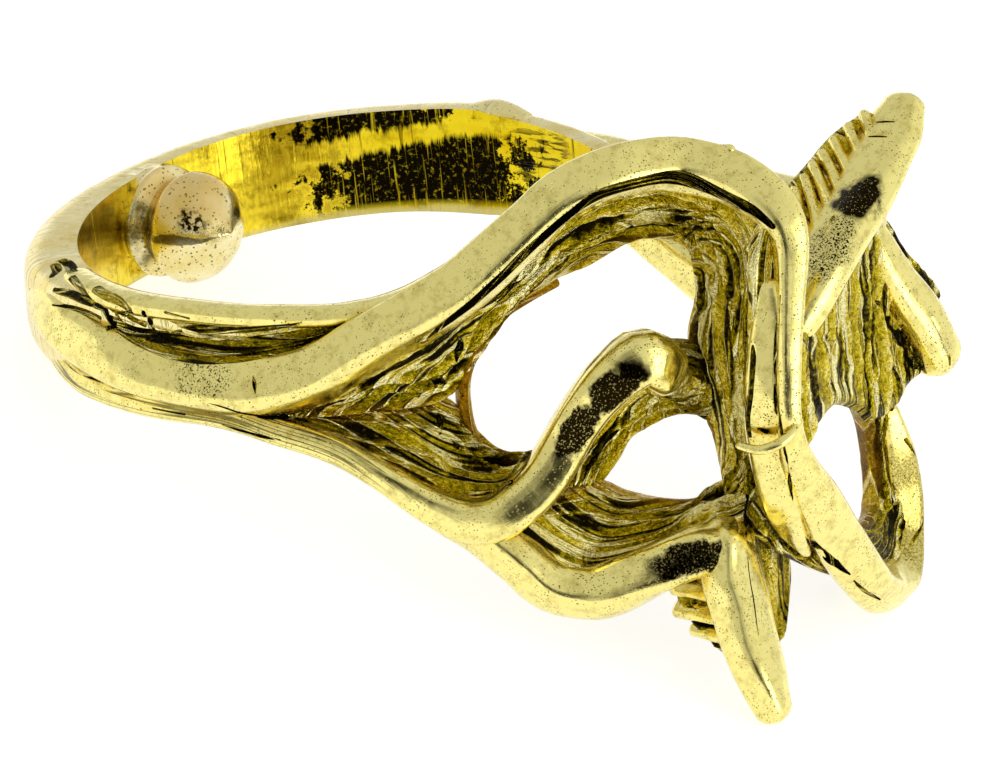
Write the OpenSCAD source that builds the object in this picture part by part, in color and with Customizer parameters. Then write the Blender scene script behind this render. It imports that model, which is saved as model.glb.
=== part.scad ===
// Cast gold ring with a branching openwork head and a sizing bead.
// x points out through the head, y across the finger, z along the finger,
// all seen from the middle of the finger hole; the last turn lays the ring
// down the way it rests on a table. Lengths in millimetres, angles in degrees.

/* [Band] */
// Radius of the finger hole
finger_r = 8.6; // [8.2:0.05:9.2]
// Thickness of the band at the back of the finger
band_back_t = 1.55; // [1.3:0.05:1.7]
// Thickness of the band on its plain far side
band_far_t = 1.1; // [1:0.05:1.3]

/* [Branches] */
// Thickness of every branch against the measured one
branch_k = 1; // [0.92:0.02:1.08]
// Height of the head over the finger against the measured one
rise_k = 1; // [0.95:0.01:1.05]

/* [Webs] */
// Thickness of the webs between the branches
web_t = 0.81; // [0.7:0.01:1]
// Height of the ribs cast on the webs
rib_h = 0.12; // [0.1:0.02:0.2]

/* [Bead] */
// Radius of the sizing bead inside the back of the band
bead_r = 1.7; // [1.5:0.05:1.8]

/* [Hidden] */

// how the ring tips over from standing on its finger axis to lying down
lie_pitch = -21.5;
lie_roll = 4.2;

sides = 8;        // corners of a branch section
steps = 2;        // sections between two rows of a branch table
web_steps = 2;    // sections between two rows of a web table
web_ribs = 2;     // ribs across a web
hole_fn = 84;     // corners of the finger hole
finger_h = 40;    // length of the finger that is cut out
room = 1e9;       // space round every piece; slivers under room / 1e12 close up in it

// Branch tables: angle round the finger, rise over the finger surface,
// height along the finger, width across the branch, depth through it.
// main branch: near shoulder, big loop, upright of the head, lower U-loop
main = [
    [-135, 1.0, 0.7, 1.0, 1.2], [-115, 1.1, 0.4, 1.5, 1.5], [-95, 1.1, 0.0, 1.7, 1.6],
    [-80, 1.1, -0.2, 1.7, 1.6], [-68, 1.15, -0.2, 1.7, 1.6], [-58, 1.2, 0.2, 1.6, 1.6],
    [-47, 1.4, 1.2, 1.5, 1.6], [-34, 1.8, 2.4, 1.5, 1.6], [-22, 2.3, 4.0, 1.4, 1.6],
    [-16, 2.6, 4.8, 1.4, 1.6], [-10, 3.0, 5.15, 1.4, 1.6], [-4, 3.3, 5.1, 1.4, 1.6],
    [1, 3.8, 4.9, 1.4, 1.6], [3.5, 4.8, 4.6, 1.4, 1.5], [4.2, 5.8, 4.2, 1.4, 1.5],
    [4.5, 6.6, 3.5, 1.3, 1.5], [4.3, 6.9, 2.6, 1.1, 1.4], [2.3, 7.1, 1.1, 0.9, 1.3],
    [0.4, 7.25, -0.5, 0.8, 1.3], [-0.5, 7.25, -2.3, 0.8, 1.3], [0.6, 7.15, -3.6, 1.1, 1.4],
    [4.5, 6.9, -5.2, 1.5, 1.5], [10, 6.6, -7.1, 1.6, 1.5], [16.5, 6.5, -9.0, 1.5, 1.5],
    [22.5, 6.5, -10.2, 1.4, 1.4], [28.5, 6.7, -10.5, 1.2, 1.4], [32, 6.8, -9.7, 1.0, 1.3],
    [33.4, 6.85, -8.4, 0.9, 1.3], [33.2, 6.8, -7.0, 0.9, 1.1], [32.5, 6.65, -5.6, 0.7, 0.7]];
// lower branch that curls up into the hooked knob inside the big loop
hook = [
    [-126, 0.9, -0.9, 0.8, 1.0], [-108, 1.0, -1.1, 0.9, 1.2], [-92, 1.0, -1.1, 0.9, 1.2],
    [-76, 1.05, -1.1, 0.9, 1.2], [-66, 1.1, -1.5, 0.9, 1.3], [-56, 1.2, -2.1, 0.9, 1.3],
    [-49, 1.35, -2.9, 0.9, 1.4], [-41, 1.6, -4.0, 1.1, 1.5], [-36, 1.9, -4.5, 1.3, 1.6],
    [-31.5, 2.3, -4.5, 1.4, 1.6], [-27.5, 2.45, -4.1, 1.4, 1.6], [-23.8, 2.5, -3.6, 1.4, 1.6],
    [-20.4, 2.6, -2.8, 1.4, 1.5], [-17.7, 2.9, -1.9, 1.4, 1.5], [-15, 3.3, -1.1, 1.5, 1.5],
    [-12.2, 3.7, -0.5, 1.6, 1.5], [-9.5, 3.9, -0.3, 1.7, 1.6], [-7, 4.0, -0.8, 1.6, 1.5]];
// branch under the hook, up to its fold
lower = [
    [-44, 1.4, -3.6, 0.7, 1.1], [-39, 1.7, -4.4, 0.9, 1.3], [-34, 2.0, -5.0, 1.1, 1.4],
    [-29, 2.4, -5.9, 1.3, 1.5], [-25, 2.7, -6.8, 1.4, 1.5], [-21, 3.1, -7.15, 1.4, 1.5],
    [-18, 3.5, -7.15, 1.5, 1.5], [-12.5, 4.2, -6.7, 1.5, 1.5], [-7, 4.9, -6.3, 1.5, 1.5],
    [-3, 5.4, -6.2, 1.4, 1.4]];
// tongue that hangs from the fold
tongue = [
    [-3, 5.3, -6.0, 1.3, 1.3], [-3.5, 5.5, -7.3, 1.8, 1.3], [-4.7, 5.9, -8.2, 1.9, 1.4],
    [-5.6, 6.3, -9.0, 1.9, 1.3], [-6, 6.8, -10.0, 1.6, 1.2], [-5.8, 7.1, -10.9, 1.1, 1.0]];
// flat plate beside the upright of the head
plate = [
    [2.2, 6.7, 1.4, 0.5, 0.9], [0.6, 6.7, 0.5, 0.8, 0.9], [-0.8, 6.65, -0.8, 0.9, 0.9],
    [-1.2, 6.65, -2.2, 0.9, 0.9], [-0.6, 6.6, -3.6, 0.9, 0.9], [1, 6.5, -5.2, 0.9, 0.9],
    [4.5, 6.3, -6.6, 0.8, 0.9]];
// broad prong that stands up behind the upright
prong = [
    [8, 5.8, -1.0, 1.0, 1.2], [11.3, 6.1, -0.1, 1.2, 1.7], [15, 6.3, 0.7, 1.3, 2.0],
    [19.5, 6.5, 1.4, 1.4, 2.1], [24.5, 6.85, 2.1, 1.4, 2.1], [29, 7.25, 2.9, 1.3, 1.9],
    [31.3, 7.5, 3.5, 1.2, 1.6], [33, 7.7, 4.2, 0.9, 1.1]];
// short branch at the far end of the head
spur = [
    [35.8, 6.2, 0.5, 0.8, 1.0], [36.8, 6.6, -0.6, 0.9, 1.1], [38, 7.1, -1.9, 1.0, 1.2],
    [39.2, 7.7, -3.2, 1.2, 1.4], [40, 8.2, -4.7, 1.2, 1.4]];
// thin rib along the upper edge of the near shoulder
rib = [
    [-118, 0.5, 1.6, 0.5, 0.9], [-100, 0.6, 1.7, 0.6, 1.0], [-84, 0.6, 1.8, 0.6, 1.0],
    [-73, 0.6, 1.8, 0.6, 1.0], [-62, 0.6, 1.8, 0.6, 1.0], [-52, 0.65, 1.8, 0.6, 1.0],
    [-42, 0.8, 2.1, 0.6, 1.0], [-31, 1.1, 2.9, 0.6, 1.0], [-22, 1.6, 3.8, 0.5, 1.0]];
// upper branch of the far shoulder, out to the prong and the spur
far_top = [
    [110, 0.6, 0.6, 0.9, 1.0], [92, 0.8, 0.5, 1.1, 1.2], [76, 1.0, 0.5, 1.2, 1.3],
    [66, 1.5, 0.4, 1.2, 1.4], [56, 2.7, 0.3, 1.2, 1.5], [49, 4.2, 0.1, 1.2, 1.5],
    [43, 5.6, 0.1, 1.2, 1.5], [37, 6.4, 0.1, 1.2, 1.4]];
// lower branch of the far shoulder, out to the end of the U-loop
far_low = [
    [110, 0.6, -0.8, 0.9, 1.0], [92, 0.9, -1.0, 1.1, 1.2], [76, 1.1, -1.2, 1.2, 1.3],
    [66, 1.5, -1.8, 1.3, 1.4], [57, 2.4, -2.8, 1.4, 1.5], [50, 3.8, -4.0, 1.4, 1.5],
    [44, 5.2, -5.0, 1.4, 1.5], [38, 6.2, -5.4, 1.2, 1.2], [33.5, 6.55, -5.4, 0.8, 0.7]];

// Web tables: angle, rise and height of one edge, then of the other edge.
// flange inside the big loop, pillar of the head
loop_web = [
    [-66, 1.0, -0.6, -66, 0.7, -1.1], [-56, 1.2, 0.1, -54, 0.7, -1.2],
    [-47, 1.4, 1.0, -44, 0.75, -1.2], [-40, 1.6, 1.6, -36, 0.7, -1.1],
    [-34, 1.8, 2.3, -30.5, 0.7, -0.1], [-27, 2.1, 3.2, -22.5, 0.9, 1.3],
    [-20, 2.4, 4.2, -16, 1.3, 1.9], [-12, 2.9, 4.9, -10.5, 1.7, 2.2],
    [-5, 3.2, 4.9, -3, 2.2, 2.5], [1, 3.8, 4.7, 2, 2.8, 2.1],
    [3.2, 4.9, 4.4, 4.2, 3.2, 1.5], [4, 6.0, 3.7, 4.5, 3.5, 0.8],
    [3.5, 6.7, 2.3, 3.2, 3.5, 0.1], [1.5, 7.0, 0.5, 2, 3.5, -0.7],
    [0.5, 7.0, -1.5, 4, 3.5, -2.2], [0, 7.0, -3.0, 5, 3.65, -3.6],
    [1.5, 6.9, -4.5, 4.8, 3.8, -4.7], [2.5, 6.6, -5.8, 2, 4.2, -5.5]];
// valley between the hook and the big loop
valley_web = [
    [-66, 1.0, -1.5, -66, 0.7, -0.9], [-56, 1.15, -2.3, -54, 0.7, -1.1],
    [-48, 1.3, -3.2, -44, 0.75, -1.1], [-41, 1.5, -4.1, -36, 0.7, -1.1],
    [-37, 1.8, -4.4, -31.5, 0.7, -2.2], [-31, 2.3, -4.4, -27, 0.85, -3.1],
    [-25, 2.4, -3.8, -20, 1.4, -3.4], [-21, 2.5, -3.0, -17, 2.0, -3.1]];
// web under the hook, down to the second hole
hook_web = [
    [-23.5, 2.4, -3.8, -14, 2.5, -4.2], [-21, 2.5, -3.0, -11, 2.75, -3.5],
    [-18, 2.9, -2.0, -8.5, 2.95, -2.8], [-15, 3.3, -1.2, -3.5, 3.35, -2.6],
    [-11, 3.7, -0.6, 1, 3.5, -2.9], [-7, 4.0, -0.8, 4.5, 3.55, -3.3],
    [-5, 4.2, -0.8, 5, 3.6, -2.4]];
// web between the second hole and the lower branch
lower_web = [
    [-38, 1.8, -4.8, -33, 1.9, -4.4], [-32, 2.2, -5.3, -24, 2.3, -4.2],
    [-27, 2.6, -6.3, -15, 2.5, -4.1], [-22, 3.0, -7.0, -10, 2.75, -4.7],
    [-16, 3.7, -6.9, -5, 3.2, -5.2], [-11, 4.3, -6.5, 0, 3.6, -5.5],
    [-6, 5.0, -6.2, 3.5, 3.9, -5.3], [-2, 5.5, -6.1, 5, 4.8, -5.0]];
// web from the fold to the U-loop
fold_web = [
    [0.5, 6.6, -4.6, -1, 5.6, -6.1], [4, 6.7, -5.4, 1.5, 5.5, -6.6],
    [9, 6.5, -6.9, 5, 5.6, -7.4], [14, 6.3, -8.1, 10, 5.7, -8.3],
    [19, 6.3, -9.2, 16, 5.9, -9.2]];
// ribbed fin behind the tongue
tongue_web = [
    [-3, 5.2, -6.3, -2, 3.6, -5.8], [-3.6, 5.4, -7.4, -4.5, 3.5, -7.4],
    [-4.6, 5.8, -8.3, -5.6, 3.4, -8.4], [-5.4, 6.2, -9.1, -6, 4.1, -9.2],
    [-5.8, 6.7, -9.9, -6, 5.3, -9.8]];
// smooth wing on the other side of the tongue
wing_web = [
    [-2, 5.4, -6.2, 7, 4.9, -5.4], [-3, 5.6, -7.3, 8.8, 4.9, -6.8],
    [-4, 6.0, -8.3, 9.2, 4.9, -8.0], [-5, 6.3, -9.1, 7.4, 5.1, -8.8],
    [-5.6, 6.7, -9.8, 2, 5.8, -9.5]];
// wall under the prong, above the third hole
prong_web = [
    [3, 6.6, -0.6, 2, 6.7, -4.4], [9, 6.3, -0.4, 8.5, 6.4, -3.7],
    [16, 6.2, 0.5, 17, 6.0, -3.5], [24, 6.4, 1.2, 24, 6.1, -4.4],
    [31, 6.4, 0.9, 27, 6.3, -5.4], [36.5, 6.6, -0.2, 33, 6.7, -5.6]];
// inner side of the U-loop, round the third hole
u_web = [
    [33, 6.7, -5.0, 25.5, 6.1, -4.6], [33.2, 6.7, -6.5, 28, 6.1, -5.9],
    [33.2, 6.7, -8.2, 28.8, 6.1, -7.3], [31.5, 6.7, -9.4, 27, 6.1, -8.1],
    [26.5, 6.5, -10.0, 20, 6.2, -7.9], [18, 6.4, -9.0, 13, 6.3, -6.9]];
// ribbed flange inside the prong
fin_web = [
    [13, 6.1, 0.5, 22, 4.4, 2.1], [19, 6.4, 1.4, 26, 4.8, 2.5],
    [24.5, 6.7, 2.1, 29.5, 5.2, 2.8], [29, 7.1, 2.9, 32, 5.8, 3.3],
    [32, 7.4, 3.6, 33.3, 6.8, 3.9]];
// web from the flange of the prong back to the far shoulder
back_web = [
    [18, 4.6, 1.4, 14, 6.0, 0.4], [30, 4.4, 1.0, 24, 6.4, 1.0],
    [42, 4.2, 0.4, 32, 6.4, 0.6], [52, 3.2, 0.2, 38, 6.4, 0.0]];
// flange outside the spur
spur_web = [
    [36.4, 6.3, 0.2, 40.5, 6.6, 0.2], [37.6, 6.9, -1.3, 43, 7.4, -1.5],
    [39.1, 7.6, -2.9, 45.3, 8.1, -3.0], [40.2, 8.1, -4.0, 46, 8.4, -4.0]];
// wall of the far shoulder
far_web = [
    [80, 0.9, 0.6, 80, 0.9, -1.2], [68, 1.3, 0.4, 68, 1.3, -1.7],
    [57, 2.5, 0.3, 58, 2.2, -2.7], [49, 4.2, 0.2, 50, 3.7, -3.9],
    [43, 5.6, 0.1, 43, 5.3, -5.1], [38, 6.3, 0.1, 37, 6.4, -5.5]];

// Vein tables: angle, rise, height and diameter of raised threads of metal.
veins = [
    // thread laid over the plate and the upright
    [[-6, 6.8, -2.7, 0.3], [-5, 7.4, -2.8, 0.4], [-2.8, 7.8, -2.6, 0.4], [-0.5, 7.8, -2.3, 0.3]],
    // lines along the foot of the near shoulder
    [[-118, 1.2, -1.3, 0.4], [-100, 1.3, -1.45, 0.4], [-84, 1.3, -1.4, 0.4], [-70, 1.3, -1.6, 0.4]],
    // ribs fanning over the valley
    [[-58, 1.1, -1.0, 0.4], [-46, 1.25, -0.9, 0.4], [-35.5, 1.2, -0.7, 0.4]],
    [[-56, 1.1, -1.6, 0.4], [-45, 1.25, -1.9, 0.4], [-34, 1.25, -2.0, 0.4]],
    // nub on top of the big loop
    [[3.8, 5.0, 5.3, 0.35], [4.2, 5.2, 5.3, 0.35]]];

// Band table: angle, thickness over the finger, lower and upper edge.
far_t = band_far_t;
back_t = band_back_t;
band = [
    [-46, 0.7, -2.0, 1.6], [-58, 0.8, -1.7, 1.8], [-75, 0.9, -1.5, 1.8],
    [-95, 1.0, -1.5, 1.8], [-115, back_t - 0.1, -1.5, 1.7], [-135, back_t + 0.2, -1.5, 1.6],
    [-155, back_t + 0.1, -1.5, 1.6], [-175, back_t - 0.1, -1.6, 1.6],
    [-195, far_t + 0.1, -1.6, 1.7], [-215, far_t, -1.6, 1.75], [-235, far_t, -1.6, 1.75],
    [-252, far_t + 0.1, -1.7, 1.75], [-258, far_t, -1.7, 1.6], [-275, far_t, -1.7, 1.3],
    [-291, far_t, -1.8, 1.0]];
bite = 0.5;       // how far the band starts inside the finger hole

// point of a smooth curve through table rows, u from 0 to 1
function blend(a, b, c, d, u) =
    (2 * b + (c - a) * u + (2 * a - 5 * b + 4 * c - d) * u * u
        + (3 * b - 3 * c + d - a) * u * u * u) / 2;
function smooth(t, n) = let (m = len(t) - 1)
    [for (i = [0 : m - 1], k = [0 : n - 1])
        blend(t[max(i - 1, 0)], t[i], t[i + 1], t[min(i + 2, m)], k / n), t[m]];
// angle, rise and height to a place in space
function place(a, rise, z) = let (r = finger_r + rise * rise_k) [r * cos(a), r * sin(a), z];
function unit(v) = v / norm(v);
function square_to(v, t) = unit(v - (v * t) * t);
// outward directions carried along a curve without twisting
function carry(tan, out, i = 1) = i >= len(tan) ? out :
    carry(tan, concat(out, [square_to(out[i - 1], tan[i])]), i + 1);

// closed skin through equal rings of points, capped at both ends
module skin(rings) {
    n = len(rings[0]);
    m = len(rings);
    walls = [for (i = [0 : m - 2], j = [0 : n - 1], k = [0, 1]) let (
        a = i * n + j, b = i * n + (j + 1) % n)
        k == 0 ? [a, b, b + n] : [a, b + n, a + n]];
    caps = [[for (j = [n - 1 : -1 : 0]) j], [for (j = [0 : n - 1]) (m - 1) * n + j]];
    intersection() {
        polyhedron([for (r = rings, p = r) p], concat(walls, caps));
        cube(room, center = true);
    }
}

// rounded branch through a branch table
module branch(table) {
    rows = smooth(table, steps);
    m = len(rows) - 1;
    mid = [for (r = rows) place(r[0], r[1], r[2])];
    tan = [for (i = [0 : m]) unit(mid[min(i + 1, m)] - mid[max(i - 1, 0)])];
    out = carry(tan, [square_to([mid[0][0], mid[0][1], 0], tan[0])]);
    // the ends close over a quarter round: [how far out, how wide]
    ends = [[0.95, 0.3], [0.7, 0.7]];
    function ring(i, push, k) = let (
        side = cross(tan[i], out[i]),
        w = rows[i][3] / 2 * branch_k, d = rows[i][4] / 2 * branch_k,
        c = mid[i] + tan[i] * push * min(w, d))
        [for (j = [0 : sides - 1]) let (a = 360 * (j + 0.5) / sides)
            c + side * w * k * cos(a) / cos(180 / sides) + out[i] * d * k * sin(a) / cos(180 / sides)];
    skin(concat(
        [for (e = ends) ring(0, -e[0], e[1])],
        [for (i = [0 : m]) ring(i, 0, 1)],
        [for (e = [ends[1], ends[0]]) ring(m, e[0], e[1])]));
}

// ribbed sheet between the two edges of a web table; sag bows it inward
module web(table, thick = web_t, sag = 0.15, ribs = web_ribs) {
    rows = smooth(table, web_steps);
    n = len(rows) - 1;
    m = ribs * 2;
    grid = [for (r = rows) let (p = place(r[0], r[1], r[2]), q = place(r[3], r[4], r[5]))
        [for (j = [0 : m]) p + (q - p) * j / m]];
    function across(i, j) = grid[i][min(j + 1, m)] - grid[i][max(j - 1, 0)];
    function along(i, j) = grid[min(i + 1, n)][j] - grid[max(i - 1, 0)][j];
    function square(i, j) = unit(cross(along(i, j), across(i, j)));
    // one choice of front for the whole web: away from the finger
    core = grid[floor(n / 3)][ribs];
    face = square(floor(n / 3), ribs) * [core[0], core[1], 0] < 0 ? -1 : 1;
    function normal(i, j) = face * square(i, j);
    // front face carries the ribs, back face is plain
    function rim(i) = concat(
        [for (j = [0 : m]) grid[i][j] + normal(i, j) * (thick / 2 - sag * sin(180 * j / m)
            + (j % 2 == 1 ? rib_h : -rib_h))],
        [for (j = [m : -1 : 0]) grid[i][j] - normal(i, j) * (thick / 2 + sag * sin(180 * j / m))]);
    skin(face < 0 ? [for (i = [n : -1 : 0]) rim(i)] : [for (i = [0 : n]) rim(i)]);
}

// band with softened outer corners
module shank() {
    rows = smooth(band, 3);
    skin([for (i = [len(rows) - 1 : -1 : 0]) let (r = rows[i], lo = r[2], hi = r[3], t = r[1])
        [for (q = [[-bite, lo + 0.1], [0.2, lo], [t - 0.35, lo + 0.1], [t - 0.05, lo + 0.5],
            [t - 0.05, hi - 0.5], [t - 0.35, hi - 0.1], [0.2, hi], [-bite, hi - 0.1]])
            [(finger_r + q[0]) * cos(r[0]), (finger_r + q[0]) * sin(r[0]), q[1]]]]);
}

// raised threads, each a chain of hulls between small balls
module threads() {
    for (v = veins, i = [0 : len(v) - 2]) hull() for (r = [v[i], v[i + 1]])
        translate(place(r[0], r[1], r[2])) sphere(d = r[3], $fn = 6);
}

// bead soldered inside the back of the band, on a low collar
module bead() {
    translate([-finger_r + 1.45, 0, 0]) sphere(bead_r, $fn = 20);
    translate([-finger_r + 0.3, 0, 0]) scale([0.42, 1, 1]) sphere(bead_r + 0.05, $fn = 20);
}

// solid of revolution that the finger takes out
module finger() {
    translate([0, 0, -finger_h / 2]) cylinder(h = finger_h, r = finger_r, $fn = hole_fn);
}

module cast_ring() {
    color([0.83, 0.69, 0.22]) rotate([lie_roll, lie_pitch, 0]) union() {
        difference() {
            union() {
                shank();
                for (t = [main, hook, lower, tongue, plate, prong, spur, rib, far_top, far_low])
                    branch(t);
                for (t = [loop_web, valley_web, hook_web, lower_web, fold_web, tongue_web,
                    wing_web, prong_web, u_web, fin_web, back_web, spur_web, far_web]) web(t);
                threads();
            }
            finger();
        }
        bead();
    }
}

cast_ring();
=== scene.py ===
from math import copysign, cos, exp, floor, pi, radians, sin, sqrt

import bmesh
import bpy
from mathutils import Euler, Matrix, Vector, noise
from mathutils.bvhtree import BVHTree


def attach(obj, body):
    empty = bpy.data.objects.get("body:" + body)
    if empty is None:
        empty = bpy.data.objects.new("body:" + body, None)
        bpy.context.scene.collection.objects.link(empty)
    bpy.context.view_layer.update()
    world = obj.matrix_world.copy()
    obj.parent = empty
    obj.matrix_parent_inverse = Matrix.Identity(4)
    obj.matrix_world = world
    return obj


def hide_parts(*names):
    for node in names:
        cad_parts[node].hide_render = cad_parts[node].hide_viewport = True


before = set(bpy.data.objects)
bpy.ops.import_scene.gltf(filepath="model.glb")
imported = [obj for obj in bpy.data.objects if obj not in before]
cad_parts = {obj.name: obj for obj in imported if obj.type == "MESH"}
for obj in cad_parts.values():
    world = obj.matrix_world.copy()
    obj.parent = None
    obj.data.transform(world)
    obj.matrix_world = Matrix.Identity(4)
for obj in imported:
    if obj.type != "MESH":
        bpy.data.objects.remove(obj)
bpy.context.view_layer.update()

MM = 0.001

# the ring's own sizes, in mm and degrees, round the finger's axis
FINGER_R = 8.6
BACK_T = 1.55
FAR_T = 1.1
WEB_T = 0.81
# how the ring lies down from its upright finger axis
LIE = Euler((radians(4.2), radians(-21.5), 0)).to_matrix()

# Branch tables: angle round the finger, rise over the finger surface,
# height along the finger, width across the branch, depth through it.
MAIN = [
    [-135, 1.0, 0.7, 1.0, 1.2], [-115, 1.1, 0.4, 1.5, 1.5], [-95, 1.1, 0.0, 1.7, 1.6],
    [-80, 1.1, -0.2, 1.7, 1.6], [-68, 1.15, -0.2, 1.7, 1.6], [-58, 1.2, 0.2, 1.6, 1.6],
    [-47, 1.4, 1.2, 1.5, 1.6], [-34, 1.8, 2.4, 1.5, 1.6], [-22, 2.3, 4.0, 1.4, 1.6],
    [-16, 2.6, 4.8, 1.4, 1.6], [-10, 3.0, 5.15, 1.4, 1.6], [-4, 3.3, 5.1, 1.4, 1.6],
    [1, 3.8, 4.9, 1.4, 1.6], [3.5, 4.8, 4.6, 1.4, 1.5], [4.2, 5.8, 4.2, 1.4, 1.5],
    [4.5, 6.6, 3.5, 1.3, 1.5], [4.3, 6.9, 2.6, 1.1, 1.4], [2.3, 7.1, 1.1, 0.9, 1.3],
    [0.4, 7.25, -0.5, 0.8, 1.3], [-0.5, 7.25, -2.3, 0.8, 1.3], [0.6, 7.15, -3.6, 1.1, 1.4],
    [4.5, 6.9, -5.2, 1.5, 1.5], [10, 6.6, -7.1, 1.6, 1.5], [16.5, 6.5, -9.0, 1.5, 1.5],
    [22.5, 6.5, -10.2, 1.4, 1.4], [28.5, 6.7, -10.5, 1.2, 1.4], [32, 6.8, -9.7, 1.0, 1.3],
    [33.4, 6.85, -8.4, 0.9, 1.3], [33.2, 6.8, -7.0, 0.9, 1.1], [32.5, 6.65, -5.6, 0.7, 0.7]]
HOOK = [
    [-126, 0.9, -0.9, 0.8, 1.0], [-108, 1.0, -1.1, 0.9, 1.2], [-92, 1.0, -1.1, 0.9, 1.2],
    [-76, 1.05, -1.1, 0.9, 1.2], [-66, 1.1, -1.5, 0.9, 1.3], [-56, 1.2, -2.1, 0.9, 1.3],
    [-49, 1.35, -2.9, 0.9, 1.4], [-41, 1.6, -4.0, 1.1, 1.5], [-36, 1.9, -4.5, 1.3, 1.6],
    [-31.5, 2.3, -4.5, 1.4, 1.6], [-27.5, 2.45, -4.1, 1.4, 1.6], [-23.8, 2.5, -3.6, 1.4, 1.6],
    [-20.4, 2.6, -2.8, 1.4, 1.5], [-17.7, 2.9, -1.9, 1.4, 1.5], [-15, 3.3, -1.1, 1.5, 1.5],
    [-12.2, 3.7, -0.5, 1.6, 1.5], [-9.5, 3.9, -0.3, 1.7, 1.6], [-7, 4.0, -0.8, 1.6, 1.5]]
LOWER = [
    [-44, 1.4, -3.6, 0.7, 1.1], [-39, 1.7, -4.4, 0.9, 1.3], [-34, 2.0, -5.0, 1.1, 1.4],
    [-29, 2.4, -5.9, 1.3, 1.5], [-25, 2.7, -6.8, 1.4, 1.5], [-21, 3.1, -7.15, 1.4, 1.5],
    [-18, 3.5, -7.15, 1.5, 1.5], [-12.5, 4.2, -6.7, 1.5, 1.5], [-8, 4.8, -6.35, 1.5, 1.5],
    [-5.5, 5.15, -6.45, 1.5, 1.45], [-4.7, 5.35, -7.1, 1.3, 1.3], [-4.6, 5.55, -7.9, 1.0, 1.1]]
TONGUE = [
    [-4.0, 5.25, -6.2, 1.6, 1.4], [-4.1, 5.45, -7.2, 2.1, 1.4], [-4.8, 5.9, -8.2, 2.0, 1.4],
    [-5.6, 6.3, -9.0, 1.9, 1.3], [-6, 6.8, -10.0, 1.6, 1.2], [-5.8, 7.1, -10.9, 1.1, 1.0]]
PLATE = [
    [1.4, 6.75, 1.5, 0.7, 0.9], [0.2, 6.85, 0.5, 1.05, 0.9], [-1.1, 6.9, -0.8, 1.25, 0.9],
    [-1.8, 6.9, -2.2, 1.3, 0.9], [-1.0, 6.8, -3.6, 1.3, 0.9], [0.7, 6.6, -5.2, 1.1, 0.9],
    [3.4, 6.4, -6.3, 0.8, 0.8], [6.2, 6.25, -7.3, 0.3, 0.4]]
PRONG = [
    [8, 5.8, -1.0, 1.0, 1.2], [11.3, 6.1, -0.1, 1.2, 1.7], [15, 6.3, 0.7, 1.3, 2.0],
    [19.5, 6.5, 1.4, 1.4, 2.1], [24.5, 6.9, 2.1, 1.4, 2.2], [29, 7.3, 2.9, 1.3, 2.2],
    [31.3, 7.65, 3.45, 1.2, 2.1], [33, 7.95, 4.0, 0.9, 1.5]]
SPUR = [
    [35.6, 6.2, 0.5, 1.0, 1.0], [36.4, 6.6, -0.6, 1.2, 1.1], [37.5, 7.1, -1.9, 1.4, 1.2],
    [38.7, 7.7, -3.2, 1.6, 1.4], [39.6, 8.2, -4.6, 1.5, 1.4]]
RIB = [
    [-118, 0.5, 1.6, 0.5, 0.9], [-100, 0.6, 1.7, 0.6, 1.0], [-84, 0.6, 1.8, 0.6, 1.0],
    [-73, 0.6, 1.8, 0.6, 1.0], [-62, 0.6, 1.8, 0.6, 1.0], [-52, 0.65, 1.8, 0.6, 1.0],
    [-42, 0.8, 2.1, 0.6, 1.0], [-31, 1.1, 2.9, 0.6, 1.0], [-22, 1.6, 3.8, 0.5, 1.0]]
FAR_TOP = [
    [110, 0.6, 0.6, 0.9, 1.0], [92, 0.8, 0.5, 1.1, 1.2], [76, 1.0, 0.5, 1.2, 1.3],
    [66, 1.5, 0.4, 1.2, 1.4], [56, 2.7, 0.3, 1.2, 1.5], [49, 4.2, 0.1, 1.2, 1.5],
    [43, 5.6, 0.1, 1.2, 1.5], [37, 6.4, 0.1, 1.2, 1.4]]
FAR_LOW = [
    [110, 0.6, -0.8, 0.9, 1.0], [92, 0.9, -1.0, 1.1, 1.2], [76, 1.1, -1.35, 1.5, 1.3],
    [66, 1.5, -2.0, 1.7, 1.4], [57, 2.4, -3.0, 1.8, 1.5], [50, 3.8, -4.0, 1.4, 1.5],
    [44, 5.2, -5.0, 1.4, 1.5], [38, 6.2, -5.4, 1.2, 1.2], [33.5, 6.55, -5.4, 0.8, 0.7]]

# Web tables: angle, rise and height of one edge, then of the other edge.
LOOP_WEB = [
    [-66, 1.0, -0.6, -66, 0.7, -1.1], [-56, 1.2, 0.1, -54, 0.7, -1.2],
    [-47, 1.4, 1.0, -44, 0.75, -1.2], [-40, 1.6, 1.6, -36, 0.7, -1.1],
    [-34, 1.8, 2.3, -30.5, 0.7, -0.1], [-27, 2.1, 3.2, -22.5, 0.9, 1.3],
    [-20, 2.4, 4.2, -16, 1.3, 1.9], [-12, 2.9, 4.9, -10.5, 1.7, 2.2],
    [-5, 3.2, 4.9, -2.5, 2.2, 2.65], [1, 3.8, 4.7, 3.2, 2.8, 2.35],
    [3.2, 4.9, 4.4, 6.2, 3.2, 1.8], [4, 6.0, 3.7, 6, 3.5, 0.9],
    [3.5, 6.7, 2.3, 4.2, 3.5, 0.1], [1.5, 7.0, 0.5, 2, 3.5, -0.7],
    [0.5, 7.0, -1.5, 4, 3.5, -2.2], [0, 7.0, -3.0, 5, 3.65, -3.6],
    [1.5, 6.9, -4.5, 4.8, 3.8, -4.7], [2.5, 6.6, -5.8, 2, 4.2, -5.5]]
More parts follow.
